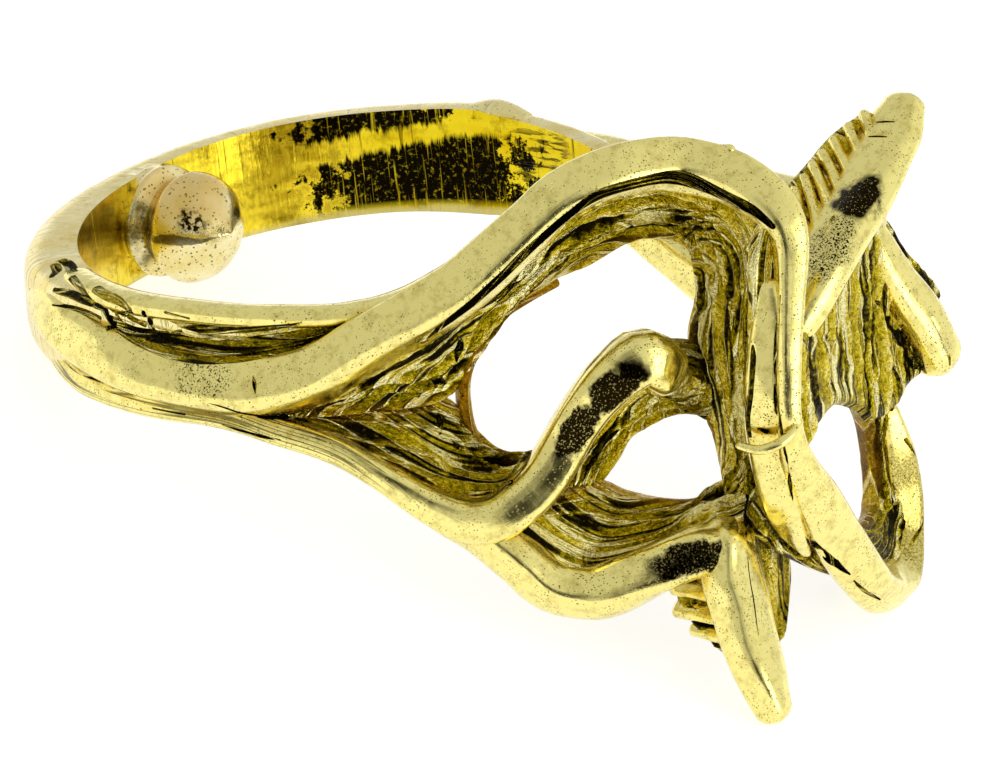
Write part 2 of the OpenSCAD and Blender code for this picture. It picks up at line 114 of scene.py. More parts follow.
VALLEY_WEB = [
    [-66, 1.0, -1.5, -66, 0.7, -0.9], [-56, 1.15, -2.3, -54, 0.7, -1.1],
    [-48, 1.3, -3.2, -44, 0.75, -1.1], [-41, 1.5, -4.1, -36, 0.7, -1.1],
    [-37, 1.8, -4.4, -31.5, 0.7, -2.2], [-31, 2.3, -4.4, -27, 0.85, -3.1],
    [-25, 2.4, -3.8, -20, 1.4, -3.4], [-21, 2.5, -3.0, -17, 2.0, -3.1]]
HOOK_WEB = [
    [-23.5, 2.4, -3.8, -14, 2.5, -4.2], [-21, 2.5, -3.0, -11, 2.75, -3.5],
    [-18, 2.9, -2.0, -8.5, 2.95, -2.8], [-15, 3.3, -1.2, -3.5, 3.35, -2.6],
    [-11, 3.7, -0.6, 1, 3.5, -2.9], [-7, 4.0, -0.8, 4.5, 3.55, -3.3],
    [-5, 4.2, -0.8, 5, 3.6, -2.4]]
LOWER_WEB = [
    [-38, 1.8, -4.8, -33, 1.9, -4.4], [-32, 2.2, -5.3, -24, 2.3, -4.2],
    [-27, 2.6, -6.3, -15, 2.5, -4.1], [-22, 3.0, -7.0, -10, 2.75, -4.7],
    [-16, 3.7, -6.9, -5, 3.2, -5.2], [-11, 4.3, -6.5, 0, 3.6, -5.5],
    [-6, 5.0, -6.2, 3.5, 3.9, -5.3], [-2, 5.5, -6.1, 5, 4.8, -5.0]]
FOLD_WEB = [
    [0.5, 6.6, -4.6, -1, 5.6, -6.1], [4, 6.7, -5.4, 1.5, 5.5, -6.6],
    [9, 6.5, -6.9, 5, 5.6, -7.4], [14, 6.3, -8.1, 10, 5.7, -8.3],
    [19, 6.3, -9.2, 16, 5.9, -9.2]]
TONGUE_WEB = [
    [-3, 5.2, -6.3, -2, 3.6, -5.8], [-3.6, 5.4, -7.4, -4.5, 3.5, -7.4],
    [-4.6, 5.8, -8.3, -5.6, 3.6, -8.4], [-5.4, 6.2, -9.1, -6, 4.6, -9.1],
    [-5.8, 6.7, -9.9, -6, 5.9, -9.8]]
WING_WEB = [
    [-2, 5.4, -6.2, 7, 4.9, -5.4], [-3, 5.6, -7.3, 8.8, 4.9, -6.8],
    [-4, 6.0, -8.3, 9.2, 4.9, -8.0], [-5, 6.3, -9.1, 7.4, 5.1, -8.8],
    [-5.6, 6.7, -9.8, 2, 5.8, -9.5]]
PRONG_WEB = [
    [3, 6.6, -0.6, 2, 6.7, -4.4], [9, 6.3, -0.4, 8.5, 6.4, -3.6],
    [16, 6.2, 0.5, 17, 6.0, -3.8], [24, 6.4, 1.2, 24, 6.1, -4.7],
    [31, 6.4, 0.9, 27, 6.3, -5.4], [36.5, 6.6, -0.2, 33, 6.7, -5.6],
    [38, 7.2, -1.6, 37, 7.0, -5.4], [39.3, 7.8, -3.2, 38.5, 7.6, -5.1]]
U_WEB = [
    [33, 6.7, -5.0, 25.5, 6.1, -4.6], [33.2, 6.7, -6.5, 28, 6.1, -5.9],
    [33.2, 6.7, -8.2, 28.8, 6.1, -7.3], [31.5, 6.7, -9.4, 27, 6.1, -8.1],
    [26.5, 6.5, -10.0, 20, 6.2, -7.9], [18, 6.4, -9.0, 13, 6.3, -6.9]]
FIN_WEB = [
    [13, 6.1, 0.5, 22, 4.4, 2.1], [19, 6.4, 1.4, 26, 4.8, 2.5],
    [24.5, 6.7, 2.1, 29.5, 5.2, 2.8], [29, 7.1, 2.9, 32, 5.8, 3.3],
    [32, 7.4, 3.6, 33.3, 6.8, 3.9]]
BACK_WEB = [
    [18, 4.6, 1.4, 14, 6.0, 0.4], [30, 4.4, 1.0, 24, 6.4, 1.0],
    [42, 4.2, 0.4, 32, 6.4, 0.6], [52, 3.2, 0.2, 38, 6.4, 0.0]]
SPUR_WEB = [
    [36.4, 6.3, 0.2, 40.5, 6.6, 0.2], [37.6, 6.9, -1.3, 43, 7.4, -1.5],
    [39.1, 7.6, -2.9, 45.3, 8.1, -3.0], [40.2, 8.1, -4.0, 46, 8.4, -4.0]]
FAR_WEB = [
    [80, 0.9, 0.6, 80, 0.9, -1.2], [68, 1.3, 0.4, 68, 1.3, -1.7],
    [57, 2.5, 0.3, 58, 2.2, -2.7], [49, 4.2, 0.2, 50, 3.7, -3.9],
    [43, 5.6, 0.1, 43, 5.3, -5.1], [38, 6.3, 0.1, 37, 6.4, -5.5]]
BRIDGE_WEB = [
    [-4, 3.75, -0.1, -5.5, 3.7, -1.9], [0, 3.75, -0.45, -2, 3.7, -1.95],
    [4, 3.7, -1.05, 2, 3.7, -2.0]]
# the rolled rim at the left of the big hole, as a branch table
ROLLED_RIM = [
    [-14, 1.2, 1.7, 0.25, 0.4], [-20, 1.0, 1.4, 0.3, 0.5], [-25, 0.9, 1.05, 0.35, 0.5],
    [-29.3, 0.9, 0.4, 0.4, 0.55], [-32.3, 0.9, -0.5, 0.4, 0.6], [-32.8, 0.9, -1.6, 0.4, 0.6],
    [-31.4, 0.9, -2.6, 0.4, 0.55], [-27.2, 0.95, -3.3, 0.35, 0.5], [-20, 1.2, -3.8, 0.3, 0.45]]
# the pale ridge beside the small hole, as a branch table
RIM_RIDGE = [
    [4.0, 3.9, -2.3, 0.3, 0.4], [4.4, 4.0, -2.9, 0.5, 0.55], [4.6, 4.1, -3.7, 0.55, 0.6],
    [4.4, 4.3, -4.4, 0.5, 0.6], [3.4, 4.6, -5.0, 0.35, 0.5]]
# rough strip left as cast beside the upright, as a branch table
ROUGH_STRIP = [
    [3.2, 6.4, 3.4, 0.4, 0.5], [2.3, 6.45, 2.6, 0.8, 0.6], [1.2, 6.5, 1.8, 0.8, 0.6],
    [0.0, 6.55, 1.0, 0.6, 0.5], [-1.2, 6.6, 0.3, 0.3, 0.4]]
# the low bump on the far edge of the band, as a branch table
HUMP = [[110, 0.45, 1.45, 0.5, 0.7], [103.6, 0.5, 1.5, 0.8, 1.0], [97, 0.45, 1.35, 0.5, 0.7]]
# threads: angle, rise, height and diameter
LAID_THREAD = [[-6, 6.8, -2.7, 0.25], [-5, 7.4, -2.8, 0.3], [-2.8, 7.8, -2.6, 0.3], [-0.5, 7.8, -2.3, 0.25]]
NUB = [[3.8, 5.0, 5.3, 0.35], [4.2, 5.2, 5.3, 0.35]]
# the sizing bead, a ball on a low collar with a groove between them: reach and radius
BEAD = [
    [-0.3, 0], [-0.3, 1.5], [0.25, 1.72], [0.45, 1.72], [0.68, 1.4], [1.0, 1.45], [1.45, 1.72],
    [2.2, 1.5], [2.8, 0.85], [3.12, 0]]
# strips of folded metal that fill the grooves of the near shoulder
GROOVE_WEB = [
    [-140, 1.15, 0.5, -138, 1.0, 1.2], [-126, 0.95, 0.75, -124, 0.85, 1.45],
    [-110, 0.85, 0.9, -108, 0.7, 1.6], [-92, 0.8, 0.6, -92, 0.65, 1.65],
    [-74, 0.8, 0.4, -74, 0.65, 1.7], [-58, 0.85, 0.8, -58, 0.7, 1.75],
    [-46, 1.0, 1.6, -46, 0.75, 1.95], [-36, 1.4, 2.5, -36, 0.95, 2.4]]
FOOT_WEB = [
    [-128, 0.95, 0.0, -128, 0.7, -1.3], [-112, 1.0, -0.3, -112, 0.85, -1.45],
    [-96, 0.95, -0.7, -96, 0.8, -1.5], [-80, 0.95, -0.9, -80, 0.8, -1.55],
    [-68, 1.0, -1.0, -68, 0.85, -1.8]]

# Crevices and pits cut into the metal, their walls toned black for oxide and painted shade: angle, rise,
# height, width and depth of the cut.
CREVICES = [
    # the dark crevice under the big loop
    [[-42, 2.3, 1.0, 0.2, 0.4], [-38, 2.4, 1.5, 0.3, 0.5], [-35, 2.5, 1.95, 0.36, 0.6],
     [-31, 2.65, 2.5, 0.4, 0.7], [-22.3, 3.05, 3.8, 0.42, 0.9], [-17.5, 3.3, 4.45, 0.44, 1.0],
     [-12.8, 3.6, 4.92, 0.46, 1.1], [-5.3, 4.1, 4.95, 0.44, 1.1], [-1.2, 4.47, 4.75, 0.48, 1.1],
     [0.7, 5.25, 4.28, 0.42, 1.0], [1.5, 6.3, 3.85, 0.34, 0.8], [1.9, 6.95, 3.4, 0.2, 0.5]],
    # dents on the near shoulder
    [[-56.7, 1.85, 0.42, 0.05, 0.1], [-56.9, 1.85, 0.22, 0.12, 0.2], [-57.2, 1.85, -0.02, 0.05, 0.1]],
    # a slit across the main branch
    [[-67.9, 1.8, 0.4, 0.08, 0.25], [-67.5, 1.9, 0.2, 0.14, 0.25], [-67.1, 1.95, -0.05, 0.06, 0.25]],
    # the slot beside the spur, and the seam behind the prong
    [[31, 6.75, -1.8, 0.06, 0.2], [33, 6.85, -2.35, 0.24, 0.5], [35, 7.05, -3.1, 0.3, 0.6],
     [36.4, 7.3, -3.9, 0.3, 0.6], [37.3, 7.55, -4.6, 0.2, 0.5], [38, 7.8, -5.1, 0.06, 0.2]],
    [[19.5, 6.75, 2.15, 0.05, 0.2], [17.4, 6.5, 1.95, 0.09, 0.3], [14, 6.25, 1.5, 0.09, 0.3],
     [11, 6.05, 1.0, 0.05, 0.2]],
    # seam beside the plate, and the slit on its left
    [[0.3, 7.33, 1.48, 0.05, 0.12], [-0.5, 7.35, 0.8, 0.08, 0.16], [-1.2, 7.36, 0.1, 0.08, 0.16],
     [-1.9, 7.32, -0.9, 0.08, 0.15], [-2.4, 7.46, -1.65, 0.08, 0.16], [-2.5, 7.58, -2.4, 0.07, 0.15],
     [-2.3, 7.6, -3.05, 0.05, 0.12], [-1.2, 7.4, -4.1, 0.07, 0.14], [0.5, 7.0, -5.45, 0.05, 0.12]],
    [[-2.4, 6.8, 0.1, 0.04, 0.2], [-2.7, 6.82, -0.25, 0.1, 0.22], [-3.2, 6.83, -0.75, 0.12, 0.22],
     [-3.7, 6.8, -1.35, 0.12, 0.22], [-3.9, 6.68, -1.9, 0.12, 0.22], [-4.0, 6.66, -2.3, 0.1, 0.22],
     [-3.9, 6.7, -2.65, 0.05, 0.15]],
    # short cracks near the tip of the prong, and one down the spur
    [[30.5, 7.2, 3.81, 0.04, 0.1], [29.9, 7.5, 3.87, 0.08, 0.2], [29.2, 7.8, 3.93, 0.04, 0.1]],
    [[29.0, 7.0, 3.51, 0.04, 0.1], [28.4, 7.3, 3.57, 0.07, 0.2], [27.7, 7.6, 3.62, 0.04, 0.1]],
    [[36.7, 8.2, -3.0, 0.04, 0.15], [36.8, 8.3, -3.2, 0.08, 0.25], [37.0, 8.43, -3.7, 0.09, 0.25],
     [37.4, 8.61, -4.4, 0.1, 0.25], [37.6, 8.65, -4.9, 0.05, 0.15]],
    # the gap over the laid thread
    [[-3.4, 6.8, -2.35, 0.1, 0.3], [-2.7, 7.0, -2.5, 0.24, 0.5], [-2.0, 7.2, -2.6, 0.2, 0.4],
     [-1.5, 7.3, -2.65, 0.06, 0.2]],
    # deep pits in the valley
    [[-33, 1.3, 0.85, 0.06, 0.2], [-33, 1.3, 0.6, 0.24, 0.5], [-33.6, 1.3, 0.4, 0.2, 0.5],
     [-34, 1.3, 0.15, 0.06, 0.2]],
    [[-39, 1.2, -0.3, 0.06, 0.2], [-37.6, 1.2, -0.45, 0.24, 0.5], [-36.4, 1.2, -0.5, 0.3, 0.5],
     [-35.6, 1.2, -0.45, 0.08, 0.2]],
    [[-37.6, 1.1, -1.3, 0.06, 0.2], [-37.5, 1.1, -1.6, 0.24, 0.5], [-37.6, 1.1, -1.85, 0.2, 0.5],
     [-38, 1.1, -2.1, 0.06, 0.2]],
    [[-36, 1.25, -2.35, 0.06, 0.2], [-35.4, 1.25, -2.55, 0.22, 0.4], [-34.6, 1.25, -2.75, 0.06, 0.2]],
    [[-31, 2.45, -3.35, 0.06, 0.2], [-29, 2.6, -3.45, 0.2, 0.4], [-27.5, 2.6, -3.4, 0.06, 0.2]],
    # cracks in the U-loop and the tongue
    [[3.8, 6.75, -6.6, 0.06, 0.3], [6, 6.72, -7.1, 0.16, 0.4], [7.8, 6.7, -7.6, 0.3, 0.5],
     [9.4, 6.8, -8.1, 0.14, 0.4], [11, 6.95, -8.5, 0.05, 0.2]],
    [[12, 6.8, -8.8, 0.05, 0.2], [14.3, 6.9, -9.4, 0.1, 0.25], [18, 6.95, -10.1, 0.05, 0.2]],
    [[-3.4, 6.05, -6.6, 0.05, 0.2], [-5.1, 6.5, -7.7, 0.07, 0.2], [-7, 7, -9, 0.06, 0.2],
     [-8, 7.3, -9.8, 0.05, 0.2]],
]
# Shallower channels, their walls toned brown for oxide and painted shade.
CHANNELS = [
    # channels along the groove of the near shoulder
    [[-100, 1.05, 1.2, 0.25, 0.5], [-94, 1.05, 1.0, 0.34, 0.6], [-87, 1.0, 1.0, 0.4, 0.7],
     [-81, 1.0, 0.95, 0.45, 0.7], [-75, 0.95, 0.9, 0.45, 0.7], [-68, 0.95, 1.1, 0.42, 0.6],
     [-62, 0.9, 1.3, 0.3, 0.5], [-56, 0.95, 1.5, 0.2, 0.4]],
    [[-98, 1.15, 1.1, 0.15, 0.4], [-92, 1.2, 0.85, 0.25, 0.45], [-84, 1.35, 0.68, 0.3, 0.5],
     [-78, 1.3, 0.62, 0.26, 0.5], [-70, 1.2, 0.7, 0.2, 0.4], [-64, 1.1, 0.85, 0.12, 0.3]],
    [[-84, 0.95, 1.42, 0.16, 0.4], [-78, 0.9, 1.38, 0.28, 0.5], [-71, 0.9, 1.5, 0.3, 0.5],
     [-64, 0.9, 1.65, 0.26, 0.5], [-58, 0.9, 1.8, 0.16, 0.4]],
    # worm-like ones at the left end of the near shoulder
    [[-128, 0.65, 1.62, 0.15, 0.4], [-126, 0.5, 1.63, 0.28, 0.4], [-122, 0.5, 1.66, 0.24, 0.4],
     [-117, 0.65, 1.8, 0.2, 0.4]],
    [[-126.5, 0.85, 1.6, 0.2, 0.35], [-123, 0.9, 1.6, 0.24, 0.35], [-121.3, 1.1, 1.55, 0.15, 0.35]],
    [[-115, 0.85, 1.8, 0.18, 0.4], [-109, 1.0, 1.75, 0.24, 0.4], [-105, 1.05, 1.5, 0.26, 0.4],
     [-102, 1.0, 1.45, 0.24, 0.4], [-100.5, 1.05, 1.2, 0.2, 0.4], [-98.5, 1.2, 0.95, 0.16, 0.4]],
    [[-117.5, 1.3, 1.4, 0.15, 0.35], [-112.5, 1.15, 1.5, 0.24, 0.4], [-107.5, 1.1, 1.5, 0.24, 0.4],
     [-104, 1.05, 1.5, 0.2, 0.4]],
    [[-115, 1.45, 1.1, 0.1, 0.3], [-109.5, 1.25, 1.2, 0.16, 0.3], [-105.5, 1.15, 1.2, 0.16, 0.3],
     [-102.5, 1.1, 1.15, 0.12, 0.3]],
    [[-105, 0.9, 1.9, 0.2, 0.4], [-100, 1.0, 1.9, 0.3, 0.4], [-96, 1.05, 1.85, 0.26, 0.4],
     [-93.5, 1.1, 1.65, 0.2, 0.4], [-97, 1.0, 1.5, 0.16, 0.4]],
    [[-98.6, 1.0, 1.35, 0.16, 0.3], [-96.6, 1.0, 1.1, 0.16, 0.3]],
    [[-95.6, 0.95, 1.4, 0.16, 0.3], [-91.7, 0.95, 1.25, 0.16, 0.3]],
    [[-90.5, 1.1, 1.7, 0.2, 0.4], [-90.4, 0.95, 1.3, 0.24, 0.4], [-88.6, 0.95, 1.0, 0.24, 0.4],
     [-83.7, 0.9, 1.2, 0.2, 0.4]],
    [[-85.6, 1.1, 1.87, 0.08, 0.2], [-80.6, 1.1, 1.78, 0.08, 0.2]],
    # lines along the foot of the near shoulder
    [[-111.5, 1.4, -0.73, 0.06, 0.2], [-105, 1.4, -0.73, 0.1, 0.25], [-94.5, 1.75, -0.55, 0.12, 0.25],
     [-88, 1.75, -0.67, 0.06, 0.2]],
    [[-81.5, 1.9, -0.38, 0.08, 0.2], [-77, 1.95, -0.35, 0.14, 0.25], [-73, 1.95, -0.48, 0.16, 0.3],
     [-70, 1.8, -0.75, 0.16, 0.3], [-65, 1.25, -1.08, 0.2, 0.4]],
    [[-74.5, 1.65, -1.23, 0.06, 0.2], [-69, 1.7, -1.47, 0.12, 0.25], [-64.5, 1.8, -1.6, 0.06, 0.2]],
    [[-88.3, 1.6, -1.03, 0.06, 0.2], [-81.5, 1.65, -1.04, 0.06, 0.2]],
    # a channel down the far side of the U-loop
    [[32.2, 7.15, -6.5, 0.1, 0.3], [33.8, 7.35, -8, 0.14, 0.3], [32.7, 7.35, -9.2, 0.12, 0.3],
     [28.3, 7.1, -10, 0.06, 0.2]],
]

# Band table: angle, thickness over the finger, lower and upper edge.
BAND = [
    [-46, 0.7, -2.0, 1.6], [-58, 0.8, -1.7, 1.8], [-75, 0.9, -1.5, 1.8],
    [-95, 1.0, -1.5, 1.8], [-115, BACK_T - 0.1, -1.5, 1.7], [-135, BACK_T + 0.2, -1.5, 1.6],
    [-155, BACK_T + 0.1, -1.5, 1.6], [-175, BACK_T - 0.1, -1.6, 1.6],
    [-195, FAR_T + 0.1, -1.6, 1.7], [-215, FAR_T, -1.6, 1.75], [-235, FAR_T, -1.6, 1.75],
    [-252, FAR_T + 0.1, -1.7, 1.75], [-258, FAR_T, -1.7, 1.6], [-275, FAR_T, -1.7, 1.3],
    [-291, FAR_T, -1.8, 1.0]]


# curves through the tables

def at_row(table, x):
    """A smooth curve's values at row x, which may lie between two rows."""
    last = len(table) - 1
    i = min(int(x), last - 1) if last else 0
    u = x - i
    a, b, c, d = (table[min(max(i + k, 0), last)] for k in (-1, 0, 1, 2))
    return [(2 * q + (r - p) * u + (2 * p - 5 * q + 4 * r - s) * u * u
             + (3 * q - 3 * r + s - p) * u * u * u) / 2 for p, q, r, s in zip(a, b, c, d)]


def place(angle, rise, z):
    """Angle, rise and height to a place in the upright ring, in mm."""
    a, r = radians(angle), FINGER_R + rise
    return Vector((r * cos(a), r * sin(a), z))


def bumps(x, y, z):
    """Smooth noise from -1 to 1, with bumps about 1 across."""
    return noise.noise(Vector((x, y, z)))


# solid pieces of the casting

WALK_STEPS = 40         # steps between two rows of a table, to measure a branch by
CAP_RINGS = 5           # rings of a branch's domed end
RIM_R = 0.4             # mm over which a web's rims are rounded
# mm of the flow map that are kept for each branch along it, and for each web both ways, so
# that no two have the same streaks
BRANCH_SHARE = 100
WEB_SHARE = (10, 50)


def closed_skin(name, around, along, spot, metal):
    """A closed tube from a grid: spot(i, j) gives the place of a corner in mm, how dark and
    how orange it is toned, and its flow in mm across and along the metal."""
    bm = bmesh.new()
    flow = bm.loops.layers.uv.new("flow")
    toned = bm.loops.layers.uv.new("toned")
    bmesh.ops.create_grid(bm, x_segments=around, y_segments=along, size=0.5, calc_uvs=False)
    made = {}
    for v in bm.verts:
        i, j = round((v.co.x + 0.5) * around), round((v.co.y + 0.5) * along)
        made[v] = spot(i, j)
        v.co = made[v][0] * MM
    for face in bm.faces:
        for loop in face.loops:
            loop[flow].uv = made[loop.vert][2]
            loop[toned].uv = made[loop.vert][1]
    bmesh.ops.remove_doubles(bm, verts=bm.verts, dist=1e-7)
    bmesh.ops.holes_fill(bm, edges=[e for e in bm.edges if e.is_boundary], sides=0)
    bmesh.ops.recalc_face_normals(bm, faces=bm.faces)
    mesh = bpy.data.meshes.new(name)
    bm.to_mesh(mesh)
    bm.free()
    mesh.materials.append(metal)
    return bpy.data.objects.new(name, mesh)


def strand(name, table, metal, seed, around=28, step=0.24, lumps=0.03, square=0.75,
           tone=(0, 0), roll=(0, 0)):
    """A rounded branch with domed ends, a little lumpy as wax is that was worked by hand."""
    last = len(table) - 1
    # stations evenly along the branch, from a fine walk through its table
    walk = [(x / WALK_STEPS, place(*at_row(table, x / WALK_STEPS)[:3]))
            for x in range(last * WALK_STEPS + 1)]
    reach = [0]
    for (_, p), (_, q) in zip(walk, walk[1:]):
        reach.append(reach[-1] + (q - p).length)
    count = max(int(reach[-1] / step), 6)
    rows, k = [], 0
    for n in range(count + 1):
        want = reach[-1] * n / count
        while k < len(walk) - 2 and reach[k + 1] < want:
            k += 1
        share = (want - reach[k]) / max(reach[k + 1] - reach[k], 1e-9)
        rows.append(at_row(table, walk[k][0] + share / WALK_STEPS))
    mid = [place(*r[:3]) for r in rows]
    tan = [(mid[min(n + 1, count)] - mid[max(n - 1, 0)]).normalized() for n in range(count + 1)]
    out = [Vector((mid[0].x, mid[0].y, 0))]
    for t in tan:
        prev = out[-1]
        out.append((prev - prev.dot(t) * t).normalized())
    out = out[1:]

    def spot(i, j):
        n = min(max(j - CAP_RINGS, 0), count)
        end = max(CAP_RINGS - j, j - CAP_RINGS - count, 0) / CAP_RINGS
        side = tan[n].cross(out[n])
        w, d = rows[n][3] / 2, rows[n][4] / 2
        push = sin(end * pi / 2) * min(w, d) * (1 if j > CAP_RINGS else -1)
        wide = cos(end * pi / 2) if end < 1 else 0
        a = 2 * pi * (i % around) / around
        s = reach[-1] * n / count + push
        lump = 1 + lumps * (bumps(cos(a) * 0.9, sin(a) * 0.9, s * 0.55 + seed * 31.7)
                            + 0.6 * bumps(cos(a) * 1.7, sin(a) * 1.7, s * 1.3 + seed * 17.3))
        # the file squares the round section a little and turns its flats by the roll
        flat = [copysign(abs(c) ** square, c) for c in (cos(a), sin(a))]
        lean = radians(at_row([[r] for r in roll], (len(roll) - 1) * n / count)[0])
        across = side * cos(lean) - out[n] * sin(lean)
        front = out[n] * cos(lean) + side * sin(lean)
        co = mid[n] + tan[n] * push + (across * w * flat[0] + front * d * flat[1]) * wide * lump
        return co, tone, (i / around * (w + d) * pi, s + seed * BRANCH_SHARE)

    return closed_skin(name, around, count + 2 * CAP_RINGS, spot, metal)


def crests(u, s, count, seed):
    """Height from 0 in a hollow to 1 on a crest of thin wavy ridges that run along a web,
    join, part and fade."""
    warp = (1.3 * bumps(s * 0.22, u * 2.3, seed * 9.1)
            + 0.4 * bumps(s * 0.75, u * 4.5, seed * 5.3 + 40)
            + 0.14 * bumps(s * 3.1, u * 9.0, seed * 2.9 + 20))
    phase = u * count + warp
    near = abs(sin(pi * phase))
    tall = 0.75 + 1.0 * bumps(s * 0.35, floor(phase + 0.5) * 3.7, seed * 3.7 + 80)
    ridge = (0.65 * exp(-(near / 0.45) ** 2) + 0.35 * (1 - near)) * min(max(tall, 0.1), 1.2)
    blot = 0.4 * abs(bumps(s * 1.6, u * count * 1.1, seed * 4.3 + 10))
    return min(max(ridge + blot, 0), 1)


def web(name, table, metal, seed, ridges=5, rise=0.3, dark=1.0, front=44, back=18,
        step=0.24, thick=WEB_T, sag=0.15, cross=False, orange=0.0, pale=0.0, lift=0.0):
    """A ribbed sheet between the two edges of a web table; sag bows it towards the finger.
    The ribs run along it, or from edge to edge when cross is set. Its hollows are toned dark, for oxide and
    painted shade, less so towards its end by lift; pale rubs all of it, and orange tones its far rim."""
    last = len(table) - 1

    def ends(x):
        row = at_row(table, x)
        return place(*row[:3]), place(*row[3:])

    # the length of the line midway between the edges, measured in eighths of a row
    midway = [sum(ends(k / 8), Vector()) / 2 for k in range(last * 8 + 1)]
    length = sum((q - p).length for p, q in zip(midway, midway[1:]))
    count = max(int(length / step), 8)
    around = front + back
    edge = [ends(last * n / count) for n in range(count + 1)]

    def flat(n, u):
        p, q = edge[min(max(n, 0), count)]
        return p + (q - p) * u

    def square(n, u):
        along = flat(n + 1, u) - flat(n - 1, u)
        across = flat(n, min(u + 0.2, 1)) - flat(n, max(u - 0.2, 0))
        return along.cross(across).normalized()

    core = flat(count // 3, 0.5)
    turn = -1 if square(count // 3, 0.5).dot(Vector((core.x, core.y, 0))) < 0 else 1

    def spot(i, j):
        i %= around
        is_front = i <= front
        u = i / front if is_front else 1 - (i - front) / back
        up = square(j, u) * turn
        width = (edge[j][1] - edge[j][0]).length
        s = length * j / count
        share = s / length if cross else u
        along = u * width if cross else s
        high = (crests(share, along, ridges, seed) if is_front
                else crests(share, along, ridges * 0.6, seed + 50))
        soft = min(u, 1 - u) * 6
        gain = rise * min(soft, 1) * (1 if is_front else 0.6)
        fine = 0.05 * bumps(u * width * 2.2, s * 1.1, seed * 7.7)
        half = thick / 2 + (high - 0.45) * gain + fine * min(soft, 1)
        rim = 1 - min(min(u, 1 - u) * width / RIM_R, 1)
        half *= max(sqrt(1 - rim * rim), 0.15)
        bow = up * sag * sin(pi * u)
        co = flat(j, u) - bow + up * half * (1 if is_front else -1)
        # hollows toned dark: oxide in them, and painted shade
        tone = dark * (1 - lift * j / count) * (1 - high) ** 1.2 - pale
        glow = orange * max(1 - (1 - u) * width / 0.5, 0)
        flow = (s, u * width) if cross else (u * width, s)
        return co, (tone, glow), (flow[0] + seed * WEB_SHARE[0], flow[1] + seed * WEB_SHARE[1])

    return closed_skin(name, around, count, spot, metal)


def ribs(name, table, metal, seed, rows, wide=0.5, deep=1.05, lean=0.0, reach=1.0):
    """Short rounded ribs from the near edge of a web table to its far one, or to a share of
    the way there, one at each of the given rows; each ends lean rows further along."""
    made = []
    for k, row in enumerate(rows):
        near, far = at_row(table, row)[:3], at_row(table, row + lean)[3:]
        far = [p + (q - p) * reach for p, q in zip(near, far)]
        made.append(strand(name, [near + [wide, deep], far + [wide * 0.9, deep * 0.9]],
                           metal, seed + k, around=16, lumps=0.12, square=1.0))
    return made


def shank(metal):
    """The plain band, with softened edges and a slightly uneven filed outside."""
    last = len(BAND) - 1
    stations, facets = 260, 24
    bite = 0.5    # mm that it reaches into the finger hole before that is bored

    def outline(t, lo, hi):
        mid, half = (lo + hi) / 2, (hi - lo) / 2
        rounded = []
        for k in range(facets + 1):
            # a rounded box over the band, rounder outside
            c, s = cos(pi * k / facets), sin(pi * k / facets)
            rounded.append((t * abs(s) ** 0.42, mid - half * copysign(abs(c) ** 0.5, c)))
        return [(-bite, lo)] + rounded + [(-bite, hi)]

    def spot(i, j):
        angle, t, lo, hi = at_row(BAND, last * j / stations)
        rise, z = outline(t, lo, hi)[i % around]
        rough = 0.035 * bumps(angle * 0.11, z * 0.5, 3.3) + 0.02 * bumps(angle * 0.33, z * 1.2, 8.3)
        co = place(angle, rise + (rough if rise > 0.1 else 0), z)
        return co, (0, 0), (z + rise, radians(angle) * FINGER_R)

    around = facets + 3
    return closed_skin("shank", around, stations, spot, metal)


def lathe(name, profile, metal, around=72):
    """A turned piece on a line in from the inside of the band's back: reach, radius."""
    rows = len(profile) - 1
    fine = 6    # rings between two rows of the profile

    def spot(i, j):
        reach, radius = at_row(profile, j / fine)
        radius = 0 if j in (0, rows * fine) else max(radius, 0.02)
        a = 2 * pi * (i % around) / around
        lump = 1 + 0.03 * bumps(reach * 0.9, cos(a) * 1.1, sin(a) * 1.1 + 5)
        co = Vector((-FINGER_R + reach, radius * lump * cos(a), radius * lump * sin(a)))
        return co, (0, 0), (a * 1.7, reach)

    return closed_skin(name, around, rows * fine, spot, metal)


def finger_tool(metal):
    """The round that bores the finger hole; its skin becomes the inside of the band."""
    around, levels, top_mm = 256, 12, 12.0

    def spot(i, j):
        z = top_mm * (2 * min(max(j - 1, 0), levels) / levels - 1)
        r = 0 if j in (0, levels + 2) else FINGER_R
        a = 2 * pi * (i % around) / around
        return Vector((r * cos(a), r * sin(a), z)), (0, 0), (2 * pi * i / around * FINGER_R, z)

    return closed_skin("finger_tool", around, levels + 2, spot, metal)


def thread(name, points, metal, seed):
    """A thin raised thread of metal through angle, rise, height and diameter rows."""
    table = [[a, r, z, d, d] for a, r, z, d in points]
    return strand(name, table, metal, seed, around=12, step=0.12, lumps=0.12)


# finishes

def linear(code):
    """An sRGB hex colour as Blender's linear one."""
    parts = [int(code[k:k + 2], 16) / 255 for k in (0, 2, 4)]
    return tuple(c / 12.92 if c <= 0.04045 else ((c + 0.055) / 1.055) ** 2.4 for c in parts) + (1,)


def add(tree, kind, inputs=(), out=0, **settings):
    """Adds a node with its settings, sets or links its inputs by place or name, and gives
    one of its outputs, or the node itself where out is None. An input that is a tuple of a
    value and levels is that value faded from low to high, and to a start and an end."""
    made = tree.nodes.new("ShaderNode" + kind)
    for key, value in settings.items():
        setattr(made, key, value)
    if not isinstance(inputs, dict):
        inputs = dict(enumerate(inputs))
    for key, value in inputs.items():
        if isinstance(value, tuple) and isinstance(value[0], (tuple, bpy.types.NodeSocket)):
            value = add(tree, "MapRange", value)
        if isinstance(value, bpy.types.NodeSocket):
            tree.links.new(value, made.inputs[key])
        else:
            made.inputs[key].default_value = value
    return made if out is None else made.outputs[out]


